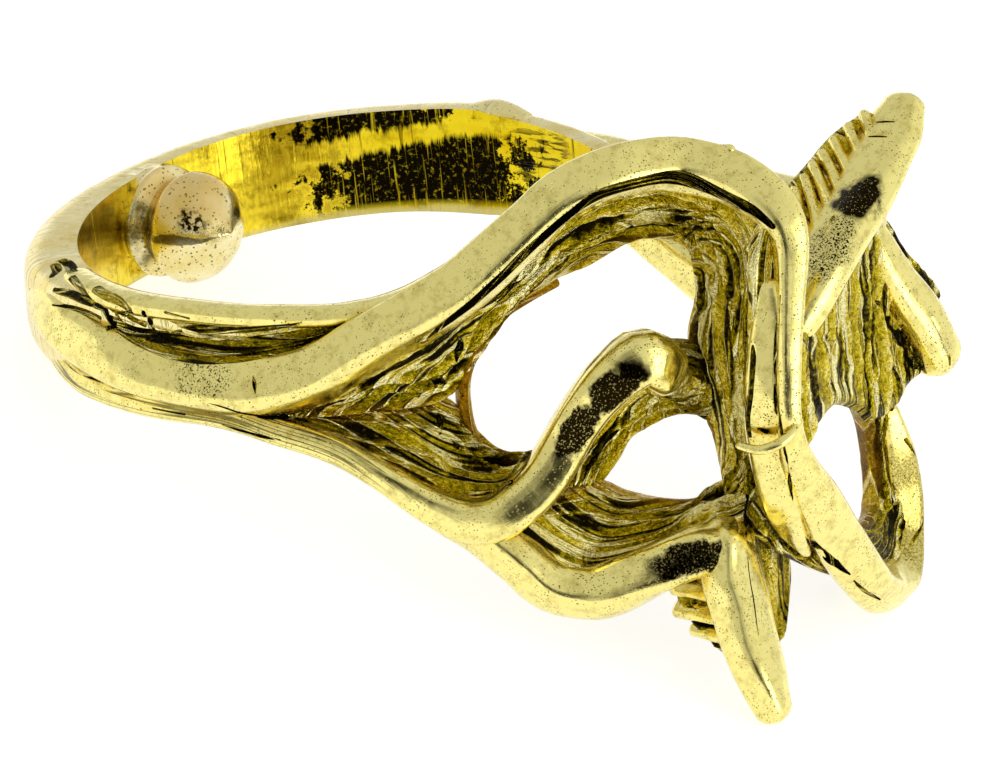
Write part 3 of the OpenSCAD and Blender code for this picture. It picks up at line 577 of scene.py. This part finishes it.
def where_all(tree, *patterns):
    """Patterns laid on each other: their product, 1 only where all of them are 1."""
    shared = patterns[0]
    for pattern in patterns[1:]:
        shared = add(tree, "Math", (shared, pattern), operation="MULTIPLY")
    return shared


def where_any(tree, *patterns):
    """Patterns side by side: the strongest of them at each place."""
    strongest = patterns[0]
    for pattern in patterns[1:]:
        strongest = add(tree, "Math", (strongest, pattern), operation="MAXIMUM")
    return strongest


def piled(tree, *layers):
    """Layers piled up: the sum of values, each times its weight."""
    total = 0.0
    for value, weight in layers:
        total = add(tree, "Math", (value, weight, total), operation="MULTIPLY_ADD")
    return total


def coated(tree, base, *coats):
    """A hex colour with coats over it, each a share and a hex colour, the last on top."""
    colour = linear(base)
    for share, coat in coats:
        colour = add(tree, "Mix", {0: share, 6: colour, 7: linear(coat)}, 2, data_type="RGBA")
    return colour


def place_mm(tree):
    """The place in the ring, in mm."""
    spot = add(tree, "TexCoord", out="Object")
    return add(tree, "VectorMath", {0: spot, 3: 1 / MM}, operation="SCALE")


def clouds(tree, per_mm, detail=3.0, rough=0.6):
    """Soft cloudy unevenness of the metal, with so many clouds to the mm."""
    return add(tree, "TexNoise", {"Vector": place_mm(tree), "Scale": per_mm, "Detail": detail,
                                  "Roughness": rough})


def streaks(tree, across, along, detail=3.0, rough=0.6):
    """Streaks that follow the flow map, with so many to the mm across the metal and along it."""
    flow = add(tree, "UVMap", uv_map="flow")
    spot = add(tree, "Mapping", {"Vector": flow, "Scale": (across, along, 1)})
    return add(tree, "TexNoise", {"Vector": spot, "Scale": 1.0, "Detail": detail, "Roughness": rough})


def pits(tree, per_mm, size, share):
    """Casting pits in a share of the cells, which lie so many to the mm: 1 in a pit."""
    cells = add(tree, "TexVoronoi", {"Vector": place_mm(tree), "Scale": per_mm}, None)
    pit = (cells.outputs["Distance"], size, size * 0.45)
    pick = add(tree, "SeparateColor", (cells.outputs["Color"],))
    return where_all(tree, pit, add(tree, "Math", (pick, share), operation="LESS_THAN"))


def within(tree, value, low, high, soft):
    """1 where value lies between low and high, fading over soft outside them."""
    return where_all(tree, (value, low - soft, low), (value, high + soft, high))


def veins(tree, across, along, wide):
    """Thin wandering folds along the flow: 1 on their crests, and 1 on their shaded sides."""
    level = streaks(tree, across, along, 1.5, 0.5)
    off = add(tree, "Math", (level, 0.5), operation="SUBTRACT")
    off = add(tree, "Math", (off,), operation="ABSOLUTE")
    crest = (off, wide, wide * 0.15)
    return crest, within(tree, level, 0.5 - 3 * wide, 0.5 - 1.6 * wide, wide)


def oval(tree, spot, centre, half):
    """1 inside an oval on the flow map, and 0 outside it, with a soft edge."""
    off = add(tree, "VectorMath", (spot, (*centre, 0)), operation="SUBTRACT")
    off = add(tree, "VectorMath", (off, (*half, 1)), operation="DIVIDE")
    away = add(tree, "VectorMath", (off,), "Value", operation="LENGTH")
    return (away, 1.15, 0.85)


def oxide_and_shade_mask(tree, low, high):
    """How much a recess is darkened, for the oxide in it and as painted shade, from the mesh's own measure
    of how closed in it is.
    """
    closed = add(tree, "Attribute", out="Fac", attribute_name="closed_in")
    uneven = add(tree, "Math", (clouds(tree, 2.6), 0.35, -0.17), operation="MULTIPLY_ADD")
    closed = add(tree, "Math", (closed, uneven), operation="ADD")
    return (closed, low, high)


def finish_metal(tree, colour, rough, height, depth_mm):
    """Puts colour, roughness and relief on the metal's shader."""
    relief = add(tree, "Bump", {"Strength": 1.0, "Distance": depth_mm * MM, "Height": height})
    shader = add(tree, "BsdfPrincipled", {"Base Color": colour, "Metallic": 1.0,
                                          "Roughness": rough, "Normal": relief})
    add(tree, "OutputMaterial", (shader,), None)


OPEN_FACE_HIGHLIGHT = "F9EC92"   # 18 ct gold painted paler on the open faces: a painted highlight
PALE = "F6E47C"     # where it is polished
WARM = "EACD58"     # the same gold, duller
SOOT_AND_SHADE = "1C1404"     # polishing dirt and oxide left in recesses and pits, also laid as painted shade and as painted dark reflections
# the unpolished gold from its crests down to its hollows, palest for the painted highlights and darkest for
# oxide and painted shade: level and colour
TONES = [(0.0, "FAF2B0"), (0.16, "F2DE60"), (0.4, "D0BA1C"), (0.64, "A0900C"), (0.85, "5A4E08"),
         (1.0, "1A1404")]
# painted dark reflections on the branches, black patches: mm across and along the flow map, half sizes, the
# level of the fine grain below which it is all black, and how black it is above that
DARK_REFLECTIONS = [
    [1.1, 222.6, 0.38, 1.0, 0.62, 0.66], [1.15, 221.0, 0.3, 1.25, 0.6, 0.66],
    [2.15, 604.8, 0.66, 0.9, 0.64, 0.6], [1.15, 309.3, 0.42, 1.25, 0.56, 0.6],
    [2.1, 602.9, 0.75, 1.2, 0.42, 0.12], [1.25, 109.9, 0.4, 0.9, 0.38, 0.0]]


def polished_gold(tree):
    """Cast 18 ct gold, polished by hand: bright and pale, with uneven casting pits, fine wear scratches
    along each branch, oxide and painted shade where a web meets it, painted dark reflections in patches, and
    a painted highlight on its open faces."""
    wave = clouds(tree, 0.9, 2.0)
    patchy = (wave, 0.4, 0.62, 0.04, 0.85)
    pitted = where_any(tree, pits(tree, 5.5, 0.17, patchy), pits(tree, 12.0, 0.27, patchy))
    # the real scratches lie under 0.02 mm apart; these are drawn 0.1 mm apart, so that they show
    scratch = streaks(tree, 9.0, 0.7, 4.0, 0.7)
    cross = streaks(tree, 0.9, 7.0, 3.0, 0.7)
    blotch = clouds(tree, 2.4, 5.0, 0.75)
    fine = clouds(tree, 17.0, 1.0)
    flow = add(tree, "UVMap", uv_map="flow")
    # long thin lines drawn along the foot of the near shoulder, the first 12 mm of the hook
    along_mm = add(tree, "SeparateXYZ", (flow,), 1)
    drawn = where_all(tree, veins(tree, 6.0, 0.12, 0.04)[0], within(tree, along_mm, 202.0, 212.5, 1.5))
    # the flow map, shifted unevenly by up to 0.35 mm to give the patches ragged edges
    shift = add(tree, "TexNoise", {"Vector": place_mm(tree), "Scale": 2.5}, "Color")
    shift = add(tree, "VectorMath", (shift, (0.5, 0.5, 0.5)), operation="SUBTRACT")
    shift = add(tree, "VectorMath", {0: shift, 3: 0.7}, operation="SCALE")
    ragged = add(tree, "VectorMath", (shift, flow), operation="ADD")
    # oxide and painted shade in the recesses, with painted dark reflections added in patches
    oxide_shade_and_reflections = oxide_and_shade_mask(tree, 0.42, 0.8)
    for across, along, wide, long, black, least in DARK_REFLECTIONS:
        here = oval(tree, ragged, (across, along), (wide, long))
        oxide_shade_and_reflections = where_any(tree, oxide_shade_and_reflections, where_all(tree, here, (fine, black + 0.05, black, least, 1.0)))
    # the lower loop's end, left as cast: olive and finely cracked
    as_cast = where_all(tree, oval(tree, ragged, (1.6, 149.4), (1.1, 2.3)), (fine, 0.4, 0.6, 0.3, 0.8))
    colour = coated(tree, PALE,
                    ((wave, 0.35, 0.7), WARM),
                    # open faces painted paler by the inverted recess mask: a painted highlight
                    (oxide_and_shade_mask(tree, 0.3, 0.05), OPEN_FACE_HIGHLIGHT),
                    ((blotch, 0.48, 0.7, 0.0, 0.6), "B09C40"),
                    ((scratch, 0.66, 0.74, 0.0, 0.5), "8C7828"),
                    (where_all(tree, pitted, 0.85), SOOT_AND_SHADE),
                    (where_all(tree, drawn, 0.8), "4C400C"),
                    (as_cast, "8C7814"),
                    (oxide_shade_and_reflections, SOOT_AND_SHADE))
    rough = (clouds(tree, 1.7), 0.3, 0.75, 0.08, 0.22)
    height = piled(tree, (scratch, 0.25), (cross, 0.1), (wave, 1.3), (pitted, -1.2), (drawn, -1.5))
    finish_metal(tree, colour, rough, height, 0.025)


def toned_gold(tree):
    """The same gold as cast, not polished: uneven, with painted glints, oxide brown and painted shade in the
    hollows of its ridges and on one side of its folds, orange at the rims of the holes and painted highlight
    lines on its crests."""
    tone = add(tree, "UVMap", uv_map="toned")
    tone = add(tree, "SeparateXYZ", (tone,), None)
    fibre = streaks(tree, 6.0, 0.8, 4.0, 0.65)
    blot = clouds(tree, 1.6, 4.0, 0.65)
    glint = clouds(tree, 7.0, 3.0, 0.7)
    crest, shaded = veins(tree, 2.6, 0.12, 0.036)
    # how dark the unpolished gold is painted: oxide and painted shade in the hollows and on the shaded side
    # of each fold, painted glints and specks from the glint noise, painted highlight lines on the crests
    dark = piled(tree, (tone.outputs[0], 1.0), (fibre, 0.35), (blot, 0.6),
                 ((glint, 0.3, 0.7, -0.4, 0.4), 1.0),
                 (oxide_and_shade_mask(tree, 0.3, 0.9), 0.35), (shaded, 0.8), (crest, -1.2))
    level = (dark, 0.3, 1.6)
    coats = [((level, low, high), code) for (low, _), (high, code) in zip(TONES, TONES[1:])]
    orange = where_all(tree, tone.outputs[1], (blot, 0.3, 0.6, 0.4, 1.0))
    colour = coated(tree, TONES[0][1], *coats, (orange, "B88412"))
    rough = (dark, 0.5, 1.5, 0.12, 0.3)
    height = piled(tree, (fibre, 0.8), (blot, 1.4), (glint, 1.6), (crest, 1.0),
                   (pits(tree, 3.1, 0.22, 0.3), -1.0))
    finish_metal(tree, colour, rough, height, 0.09)


def bored_gold(tree):
    """The inside of the band, turned and worn smooth by the finger: deep yellow, with scratches up and down,
    hammer marks, a painted black reflection on the far side, and oxide with painted shade in its recesses."""
    part = add(tree, "UVMap", uv_map="flow")
    part = add(tree, "SeparateXYZ", (part,), None)
    round_mm, up_mm = part.outputs[0], part.outputs[1]
    # the real scratches are hair-thin; these are drawn about 0.2 mm wide, so that they show
    scratch = streaks(tree, 6.0, 0.5, 4.0, 0.7)
    deep = (streaks(tree, 5.0, 0.25), 0.62, 0.7)
    wave = streaks(tree, 0.35, 0.9, 2.0)
    blot = streaks(tree, 1.3, 1.3, 5.0, 0.7)
    # the painted dark reflection lies under a bright band that climbs from left to right, from 21 to 15 mm
    # round, and above it along the top; scratches up and down make its edges ragged
    height_mm = piled(tree, (up_mm, 1.0), (streaks(tree, 7.0, 0.6), 0.9),
                      (streaks(tree, 0.8, 0.8, 2.0), 0.5), (0.7, -1.0))
    below = (round_mm, 14.2, 21.5, 1.15, 0.1)
    above = (round_mm, 15.4, 21.5, 1.5, 0.85)
    ragged_mm = piled(tree, (round_mm, 1.0), ((blot, 0.3, 0.7, -1.8, 1.8), 1.0))
    far_side_reflection = where_all(tree, (piled(tree, (height_mm, 1), (below, -1)), 0.1, -0.1),
                      within(tree, ragged_mm, 14.6, 20.9, 0.3),
                      (up_mm, -1.45, -1.2, 0.35, 1.0))
    top = where_all(tree, (piled(tree, (height_mm, 1), (above, -1)), -0.08, 0.1),
                    within(tree, ragged_mm, 17.0, 21.6, 0.3))
    hair = streaks(tree, 11.0, 0.35, 2.0)
    far_side_reflection = where_all(tree, where_any(tree, far_side_reflection, top),
                      (hair, 0.4, 0.32, 1.0, 0.5),
                      (streaks(tree, 6.0, 6.0, 4.0, 0.7), 0.66, 0.56, 0.6, 1.0))
    # hammered patch: short flat chips along the band
    chip = where_all(tree, (streaks(tree, 1.0, 5.5, 2.0, 0.5), 0.48, 0.4),
                     within(tree, round_mm, 12.9, 14.5, 0.4), within(tree, up_mm, -0.8, 1.1, 0.3))
    edge = piled(tree, (up_mm, 1.0), (wave, 0.3))
    colour = coated(tree, "F0DC2C",
                    ((wave, 0.3, 0.7), "D8B80E"),
                    ((round_mm, 19.0, 21.5), "F6DC38"),
                    ((blot, 0.5, 0.62, 0.0, 0.55), "8C7414"),
                    (where_any(tree, where_all(tree, deep, 0.6), where_all(tree, chip, 0.8)), SOOT_AND_SHADE),
                    # painted dark reflection on the far side
                    (far_side_reflection, "0E0A03"),
                    ((edge, -1.22, -1.38, 0.0, 0.7), "CCC080"),
                    # oxide and painted shade in the recesses
                    (oxide_and_shade_mask(tree, 0.62, 0.95), SOOT_AND_SHADE))
    rough = (scratch, 0.3, 0.7, 0.1, 0.26)
    height = piled(tree, (scratch, 0.4), (wave, 1.5), (deep, -0.7), (chip, -2.5))
    finish_metal(tree, colour, rough, height, 0.02)


def filed_gold(tree):
    """The outside of the band, filed to shape: pale, with thin slanted file marks."""
    bent = add(tree, "UVMap", uv_map="flow")
    bent = add(tree, "VectorMath", (bent, clouds(tree, 0.5, 1.0)), operation="ADD")
    # a fine file's teeth are 0.03 mm apart; the marks are drawn 0.08 mm apart, so that they show
    slant = add(tree, "Mapping", {"Vector": bent, "Rotation": (0, 0, radians(35)), "Scale": (0.9, 13.0, 1)})
    marks = add(tree, "TexNoise", {"Vector": slant, "Scale": 1.0, "Detail": 3.0, "Roughness": 0.7})
    hair = (marks, 0.42, 0.34)
    patchy = (clouds(tree, 0.9, 2.0), 0.38, 0.66, 0.06, 0.4)
    pitted = where_any(tree, pits(tree, 5.0, 0.2, patchy), pits(tree, 9.0, 0.24, patchy))
    wave = clouds(tree, 0.8, 2.0)
    worn = where_any(tree, where_all(tree, hair, 0.35), where_all(tree, pitted, 0.8))
    # file marks and pits worn dark, and oxide with painted shade in the recesses
    colour = coated(tree, "FAF0B4", ((wave, 0.3, 0.7), "EAD270"), (worn, SOOT_AND_SHADE),
                    (oxide_and_shade_mask(tree, 0.45, 0.85), SOOT_AND_SHADE))
    rough = (marks, 0.3, 0.75, 0.16, 0.3)
    finish_metal(tree, colour, rough, piled(tree, (wave, 1.5), (hair, -0.5), (pitted, -1.2)), 0.02)


def solder_gold(tree):
    """The sizing bead: gold solder melted to a ball, rosier on top than the band, cloudy, with a black
    pitted patch in front, painted shade round its collar, and oxide with painted shade in its recesses."""
    cloud = clouds(tree, 1.2, 5.0, 0.65)
    ragged = add(tree, "UVMap", uv_map="flow")
    ragged = add(tree, "VectorMath", (ragged, where_all(tree, cloud, 0.5)), operation="ADD")
    fine = where_any(tree, pits(tree, 9.0, 0.3, (cloud, 0.35, 0.6, 0.05, 0.6)),
                     pits(tree, 5.0, 0.24, (cloud, 0.4, 0.6, 0.05, 0.4)))
    # places on the flow map: mm round the bead from its far side over the top, mm out
    pitted = where_all(tree, oval(tree, ragged, (4.65, 2.75), (0.45, 0.3)),
                       (clouds(tree, 7.0, 2.0), 0.4, 0.55))
    line = oval(tree, ragged, (5.45, 2.4), (0.16, 0.9))
    # painted shade in the groove between the collar and the ball
    collar_shade = where_all(tree, oval(tree, ragged, (5.6, 0.9), (1.3, 0.5)), (cloud, 0.35, 0.6))
    rosy = oval(tree, ragged, (3.4, 1.9), (1.6, 1.4))
    black = where_any(tree, pitted, where_all(tree, line, 0.8), where_all(tree, collar_shade, 0.75),
                      where_all(tree, fine, 0.75))
    colour = coated(tree, "FAF0BC",
                    ((cloud, 0.35, 0.65), "E8D484"),
                    (where_all(tree, rosy, 0.6), "E6BE64"),
                    (black, "2A1E08"),
                    # oxide and painted shade in the recesses
                    (oxide_and_shade_mask(tree, 0.5, 0.9), "3A2408"))
    rough = (cloud, 0.3, 0.7, 0.14, 0.34)
    finish_metal(tree, colour, rough, piled(tree, (cloud, 1.0), (where_any(tree, fine, pitted), -1.0)), 0.03)


def white_paper(tree):
    """Matt white background paper: plain and pale, lit evenly from below as well."""
    shader = add(tree, "BsdfPrincipled", {"Base Color": linear("C4C4C4"), "Roughness": 0.9,
                                          "Emission Color": linear("FFFFFF"),
                                          "Emission Strength": 0.72})
    add(tree, "OutputMaterial", (shader,), None)


def finished(name, finish):
    """A material of that name, its nodes laid out by the finish's own function."""
    made = bpy.data.materials.new(name)
    made.use_nodes = True
    made.node_tree.nodes.clear()
    finish(made.node_tree)
    return made


# the casting, put together

polish = finished("polished_cast_gold", polished_gold)
toned = finished("toned_cast_gold", toned_gold)
bored = finished("bored_worn_gold", bored_gold)
filed = finished("filed_gold", filed_gold)
solder = finished("melted_solder_gold", solder_gold)

branches = [
    shank(filed),
    strand("main", MAIN, polish, 1, around=40, square=0.52,
           roll=(-20, -35, -45, -32, -28, -26, -34, -30, -30)),
    strand("hook", HOOK, polish, 2, around=32, square=0.6, roll=(-15, -15)),
    strand("lower", LOWER, polish, 3, square=0.62, roll=(-42, -42, -42, -36, -4, -6)),
    strand("tongue", TONGUE, polish, 4, around=36, square=0.6, roll=(-20, -12)),
    strand("plate", PLATE, polish, 5, around=28, square=0.6, roll=(64, 64)),
    strand("prong", PRONG, polish, 6, around=36, roll=(-20, -20)),
    strand("spur", SPUR, polish, 7, roll=(30, 30)),
    strand("rib", RIB, polish, 8, around=18),
    strand("far_top", FAR_TOP, polish, 9),
    strand("far_low", FAR_LOW, polish, 10),
    strand("rolled_rim", ROLLED_RIM, toned, 9, around=14, lumps=0.15, tone=(0.6, 0.8)),
]
webs = [
    web("loop_web", LOOP_WEB, toned, 11, ridges=6, rise=0.36, step=0.17, front=66,
        dark=1.1, pale=0.1, lift=0.7, orange=0.6),
    web("valley_web", VALLEY_WEB, toned, 12, ridges=5, rise=0.48, step=0.17, front=56,
        pale=0.35, orange=0.7),
    web("hook_web", HOOK_WEB, toned, 13, ridges=4, step=0.17, front=50, dark=0.7, lift=0.4,
        orange=0.5),
    web("lower_web", LOWER_WEB, toned, 14, ridges=4, step=0.17, front=50, dark=0.95, pale=0.3,
        orange=0.8),
    web("bridge_web", BRIDGE_WEB, toned, 26, ridges=3, front=24, back=10, dark=0.6),
    web("fold_web", FOLD_WEB, toned, 15, ridges=2, front=24),
    web("tongue_web", TONGUE_WEB, toned, 16, ridges=7, rise=0.2, front=24, step=0.1, cross=True),
    web("wing_web", WING_WEB, toned, 17, ridges=2, rise=0.1, dark=0.7),
    web("prong_web", PRONG_WEB, toned, 18, ridges=14, front=30, step=0.12, dark=0.65, cross=True),
    web("u_web", U_WEB, toned, 19, ridges=3, front=28, dark=1.1, orange=0.6),
    web("fin_web", FIN_WEB, toned, 20, ridges=7, rise=0.08, front=24, step=0.1, dark=0.6,
        thick=0.72, cross=True),
    web("back_web", BACK_WEB, toned, 21, ridges=4, front=28),
    web("spur_web", SPUR_WEB, toned, 22, ridges=3, front=24),
    web("far_web", FAR_WEB, toned, 23, front=40),
    web("groove_web", GROOVE_WEB, toned, 24, ridges=4, rise=0.26, dark=0.3, pale=0.3, front=40,
        back=8, thick=0.55, sag=0.05),
    web("foot_web", FOOT_WEB, toned, 25, ridges=4, rise=0.2, front=30, back=8, thick=0.4, sag=0.0,
        dark=0.6),
]
details = [
    strand("rim_ridge", RIM_RIDGE, toned, 27, around=16, lumps=0.2, tone=(-0.4, 0)),
    strand("rough_strip", ROUGH_STRIP, toned, 28, around=16, lumps=0.35, tone=(0.15, 0)),
    strand("hump", HUMP, filed, 33, around=16),
    thread("laid_thread", LAID_THREAD, polish, 30),
    thread("nub", NUB, polish, 31),
    *ribs("fin_rib", FIN_WEB, polish, 34, (0.1, 0.6, 1.1, 1.6, 2.1, 2.6, 3.1),
          wide=1.0, deep=0.5, lean=0.8, reach=0.84),
    *ribs("tongue_rib", TONGUE_WEB, polish, 42, (0.7, 1.4, 2.1, 2.8)),
]
# the walls of the cuts are toned dark, blacker in the crevices: oxide there, and painted shade
cuts = [strand("cut", rows, toned, 60 + k, around=10, step=0.1, lumps=0.25, square=1.0,
               tone=(1.0 if rows in CREVICES else 0.4, 0))
        for k, rows in enumerate(CREVICES + CHANNELS)]
bore = finger_tool(bored)
bead = lathe("bead", BEAD, solder)


def joined(body, steps):
    """The mesh of a body after other pieces are joined to it or cut from it, in turn."""
    for operation, other in [("UNION", body)] + steps:
        other.data.transform(LIE.to_4x4())
        bpy.context.scene.collection.objects.link(other)
    for operation, other in steps:
        step = body.modifiers.new(other.name, "BOOLEAN")
        step.operation = operation
        step.object = other
        step.solver = "MANIFOLD"
        step.material_mode = "TRANSFER"
    depsgraph = bpy.context.evaluated_depsgraph_get()
    mesh = bpy.data.meshes.new_from_object(body.evaluated_get(depsgraph))
    mesh.name = "gold_casting"
    for piece in [body] + [other for _, other in steps]:
        bpy.data.objects.remove(piece)
    return mesh


def keep_largest_shell(mesh):
    """Takes out the loose grains and buried pockets that the cuts leave in the casting."""
    bm = bmesh.new()
    bm.from_mesh(mesh)
    waiting = set(bm.verts)
    shells = []
    while waiting:
        front = [waiting.pop()]
        shell = []
        while front:
            vert = front.pop()
            shell.append(vert)
            near = {edge.other_vert(vert) for edge in vert.link_edges} & waiting
            waiting -= near
            front += near
        shells.append(shell)
    shells.sort(key=len)
    bmesh.ops.delete(bm, geom=[v for shell in shells[:-1] for v in shell], context="VERTS")
    bm.to_mesh(mesh)
    bm.free()


def measure_closed_in(mesh, reach_mm=1.4, rays=20):
    """Stores how much of each corner's outlook is closed in by metal near it, 0 to 1."""
    tree = BVHTree.FromPolygons([v.co.copy() for v in mesh.vertices],
                                [p.vertices[:] for p in mesh.polygons])
    # directions spread over a half ball by the golden angle, more of them upright
    fan = []
    for k in range(rays):
        up = sqrt(1 - (k + 0.5) / rays)
        a = k * pi * (3 - sqrt(5))
        fan.append(Vector((sqrt(1 - up * up) * cos(a), sqrt(1 - up * up) * sin(a), up)))
    store = mesh.attributes.new("closed_in", "FLOAT", "POINT")
    for v in mesh.vertices:
        turn = v.normal.to_track_quat("Z", "Y")
        start = v.co + v.normal * 0.03 * MM    # just off the surface
        hit = 0.0
        for ray in fan:
            gap = tree.ray_cast(start, turn @ ray, reach_mm * MM)[3]
            if gap is not None:
                hit += 1 - 0.5 * gap / (reach_mm * MM)
        store.data[v.index].value = hit / rays


first, *others = branches + webs + details
mesh = joined(first, [("UNION", other) for other in others] + [("DIFFERENCE", cut) for cut in cuts]
              + [("DIFFERENCE", bore), ("UNION", bead)])
keep_largest_shell(mesh)
measure_closed_in(mesh)
mesh.shade_smooth()
mesh.set_sharp_from_angle(angle=radians(42))
casting = bpy.data.objects.new("gold_casting", mesh)
bpy.context.scene.collection.objects.link(casting)
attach(casting, "root")
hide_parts("cast_ring")
print("casting triangles", sum(len(p.vertices) - 2 for p in mesh.polygons))


# floor, light and camera

FLOOR_HALF = 0.6
# the eye's direction from the ring, its roll, its distance and the place it looks at, in mm
EYE_TURN, EYE_LIFT, EYE_ROLL, EYE_FAR = -55.5, 30.3, 15.7, 250
LOOKED_AT = (4.63, 1.71, -2.08)
# the tent's light all round, and its patches: turn and lift of their direction, the degrees
# from it at which they begin and have ended to fade, and their strength
TENT_LIGHT = 0.66
LAMPS = [[45, 5, 25, 85, 0.25], [8, 12, 6, 26, 1.9]]
# the tent's opening, a slanted dark oval with a duller top, faces the ring's near shoulder
OPENING = [[-57, 33, 6, 18, 0.55], [-41, 17, 8, 20, 1.0], [-23, 3, 8, 20, 1.0]]

lowest = min(v.co.z for v in mesh.vertices)
bm = bmesh.new()
bmesh.ops.create_grid(bm, x_segments=1, y_segments=1, size=FLOOR_HALF)
bmesh.ops.translate(bm, verts=bm.verts, vec=(0, 0, lowest))
floor_mesh = bpy.data.meshes.new("floor")
bm.to_mesh(floor_mesh)
bm.free()
floor = bpy.data.objects.new("floor", floor_mesh)
bpy.context.scene.collection.objects.link(floor)
floor_mesh.materials.append(finished("white_paper", white_paper))

world = bpy.data.worlds.new("white_tent")
bpy.context.scene.world = world
world.use_nodes = True
sky = world.node_tree
sky.nodes.clear()
ray = add(sky, "TexCoord", out="Generated")


def towards(turn, lift):
    """The direction at an angle round from +X and an angle up."""
    turn, lift = radians(turn), radians(lift)
    return Vector((cos(lift) * cos(turn), cos(lift) * sin(turn), sin(lift)))


def patch(turn, lift, inner, outer, strength):
    """The strength within inner degrees of a direction, 0 beyond outer degrees."""
    near = add(sky, "VectorMath", (ray, towards(turn, lift)), "Value", operation="DOT_PRODUCT")
    return (near, cos(radians(outer)), cos(radians(inner)), 0.0, strength)


light = piled(sky, (TENT_LIGHT, 1.0), *((patch(*lamp), 1.0) for lamp in LAMPS))
opening = where_any(sky, *(patch(*dark) for dark in OPENING))
light = where_all(sky, light, (opening, 0.0, 1.0, 1.0, 0.05))
glow = add(sky, "Background", {"Color": linear("FFFFFF"), "Strength": light})
add(sky, "OutputWorld", (glow,), None)

lens = bpy.data.cameras.new("camera")
lens.lens = 298.8
lens.sensor_width = 36
lens.clip_start = 0.01
camera = bpy.data.objects.new("camera", lens)
bpy.context.scene.collection.objects.link(camera)
camera.location = towards(EYE_TURN, EYE_LIFT) * EYE_FAR * MM
aim = Vector(LOOKED_AT) * MM
camera.rotation_euler = ((aim - camera.location).to_track_quat("-Z", "Y")
                         @ Euler((0, 0, radians(EYE_ROLL))).to_quaternion()).to_euler()
bpy.context.scene.camera = camera
bpy.context.scene.view_settings.view_transform = "Standard"
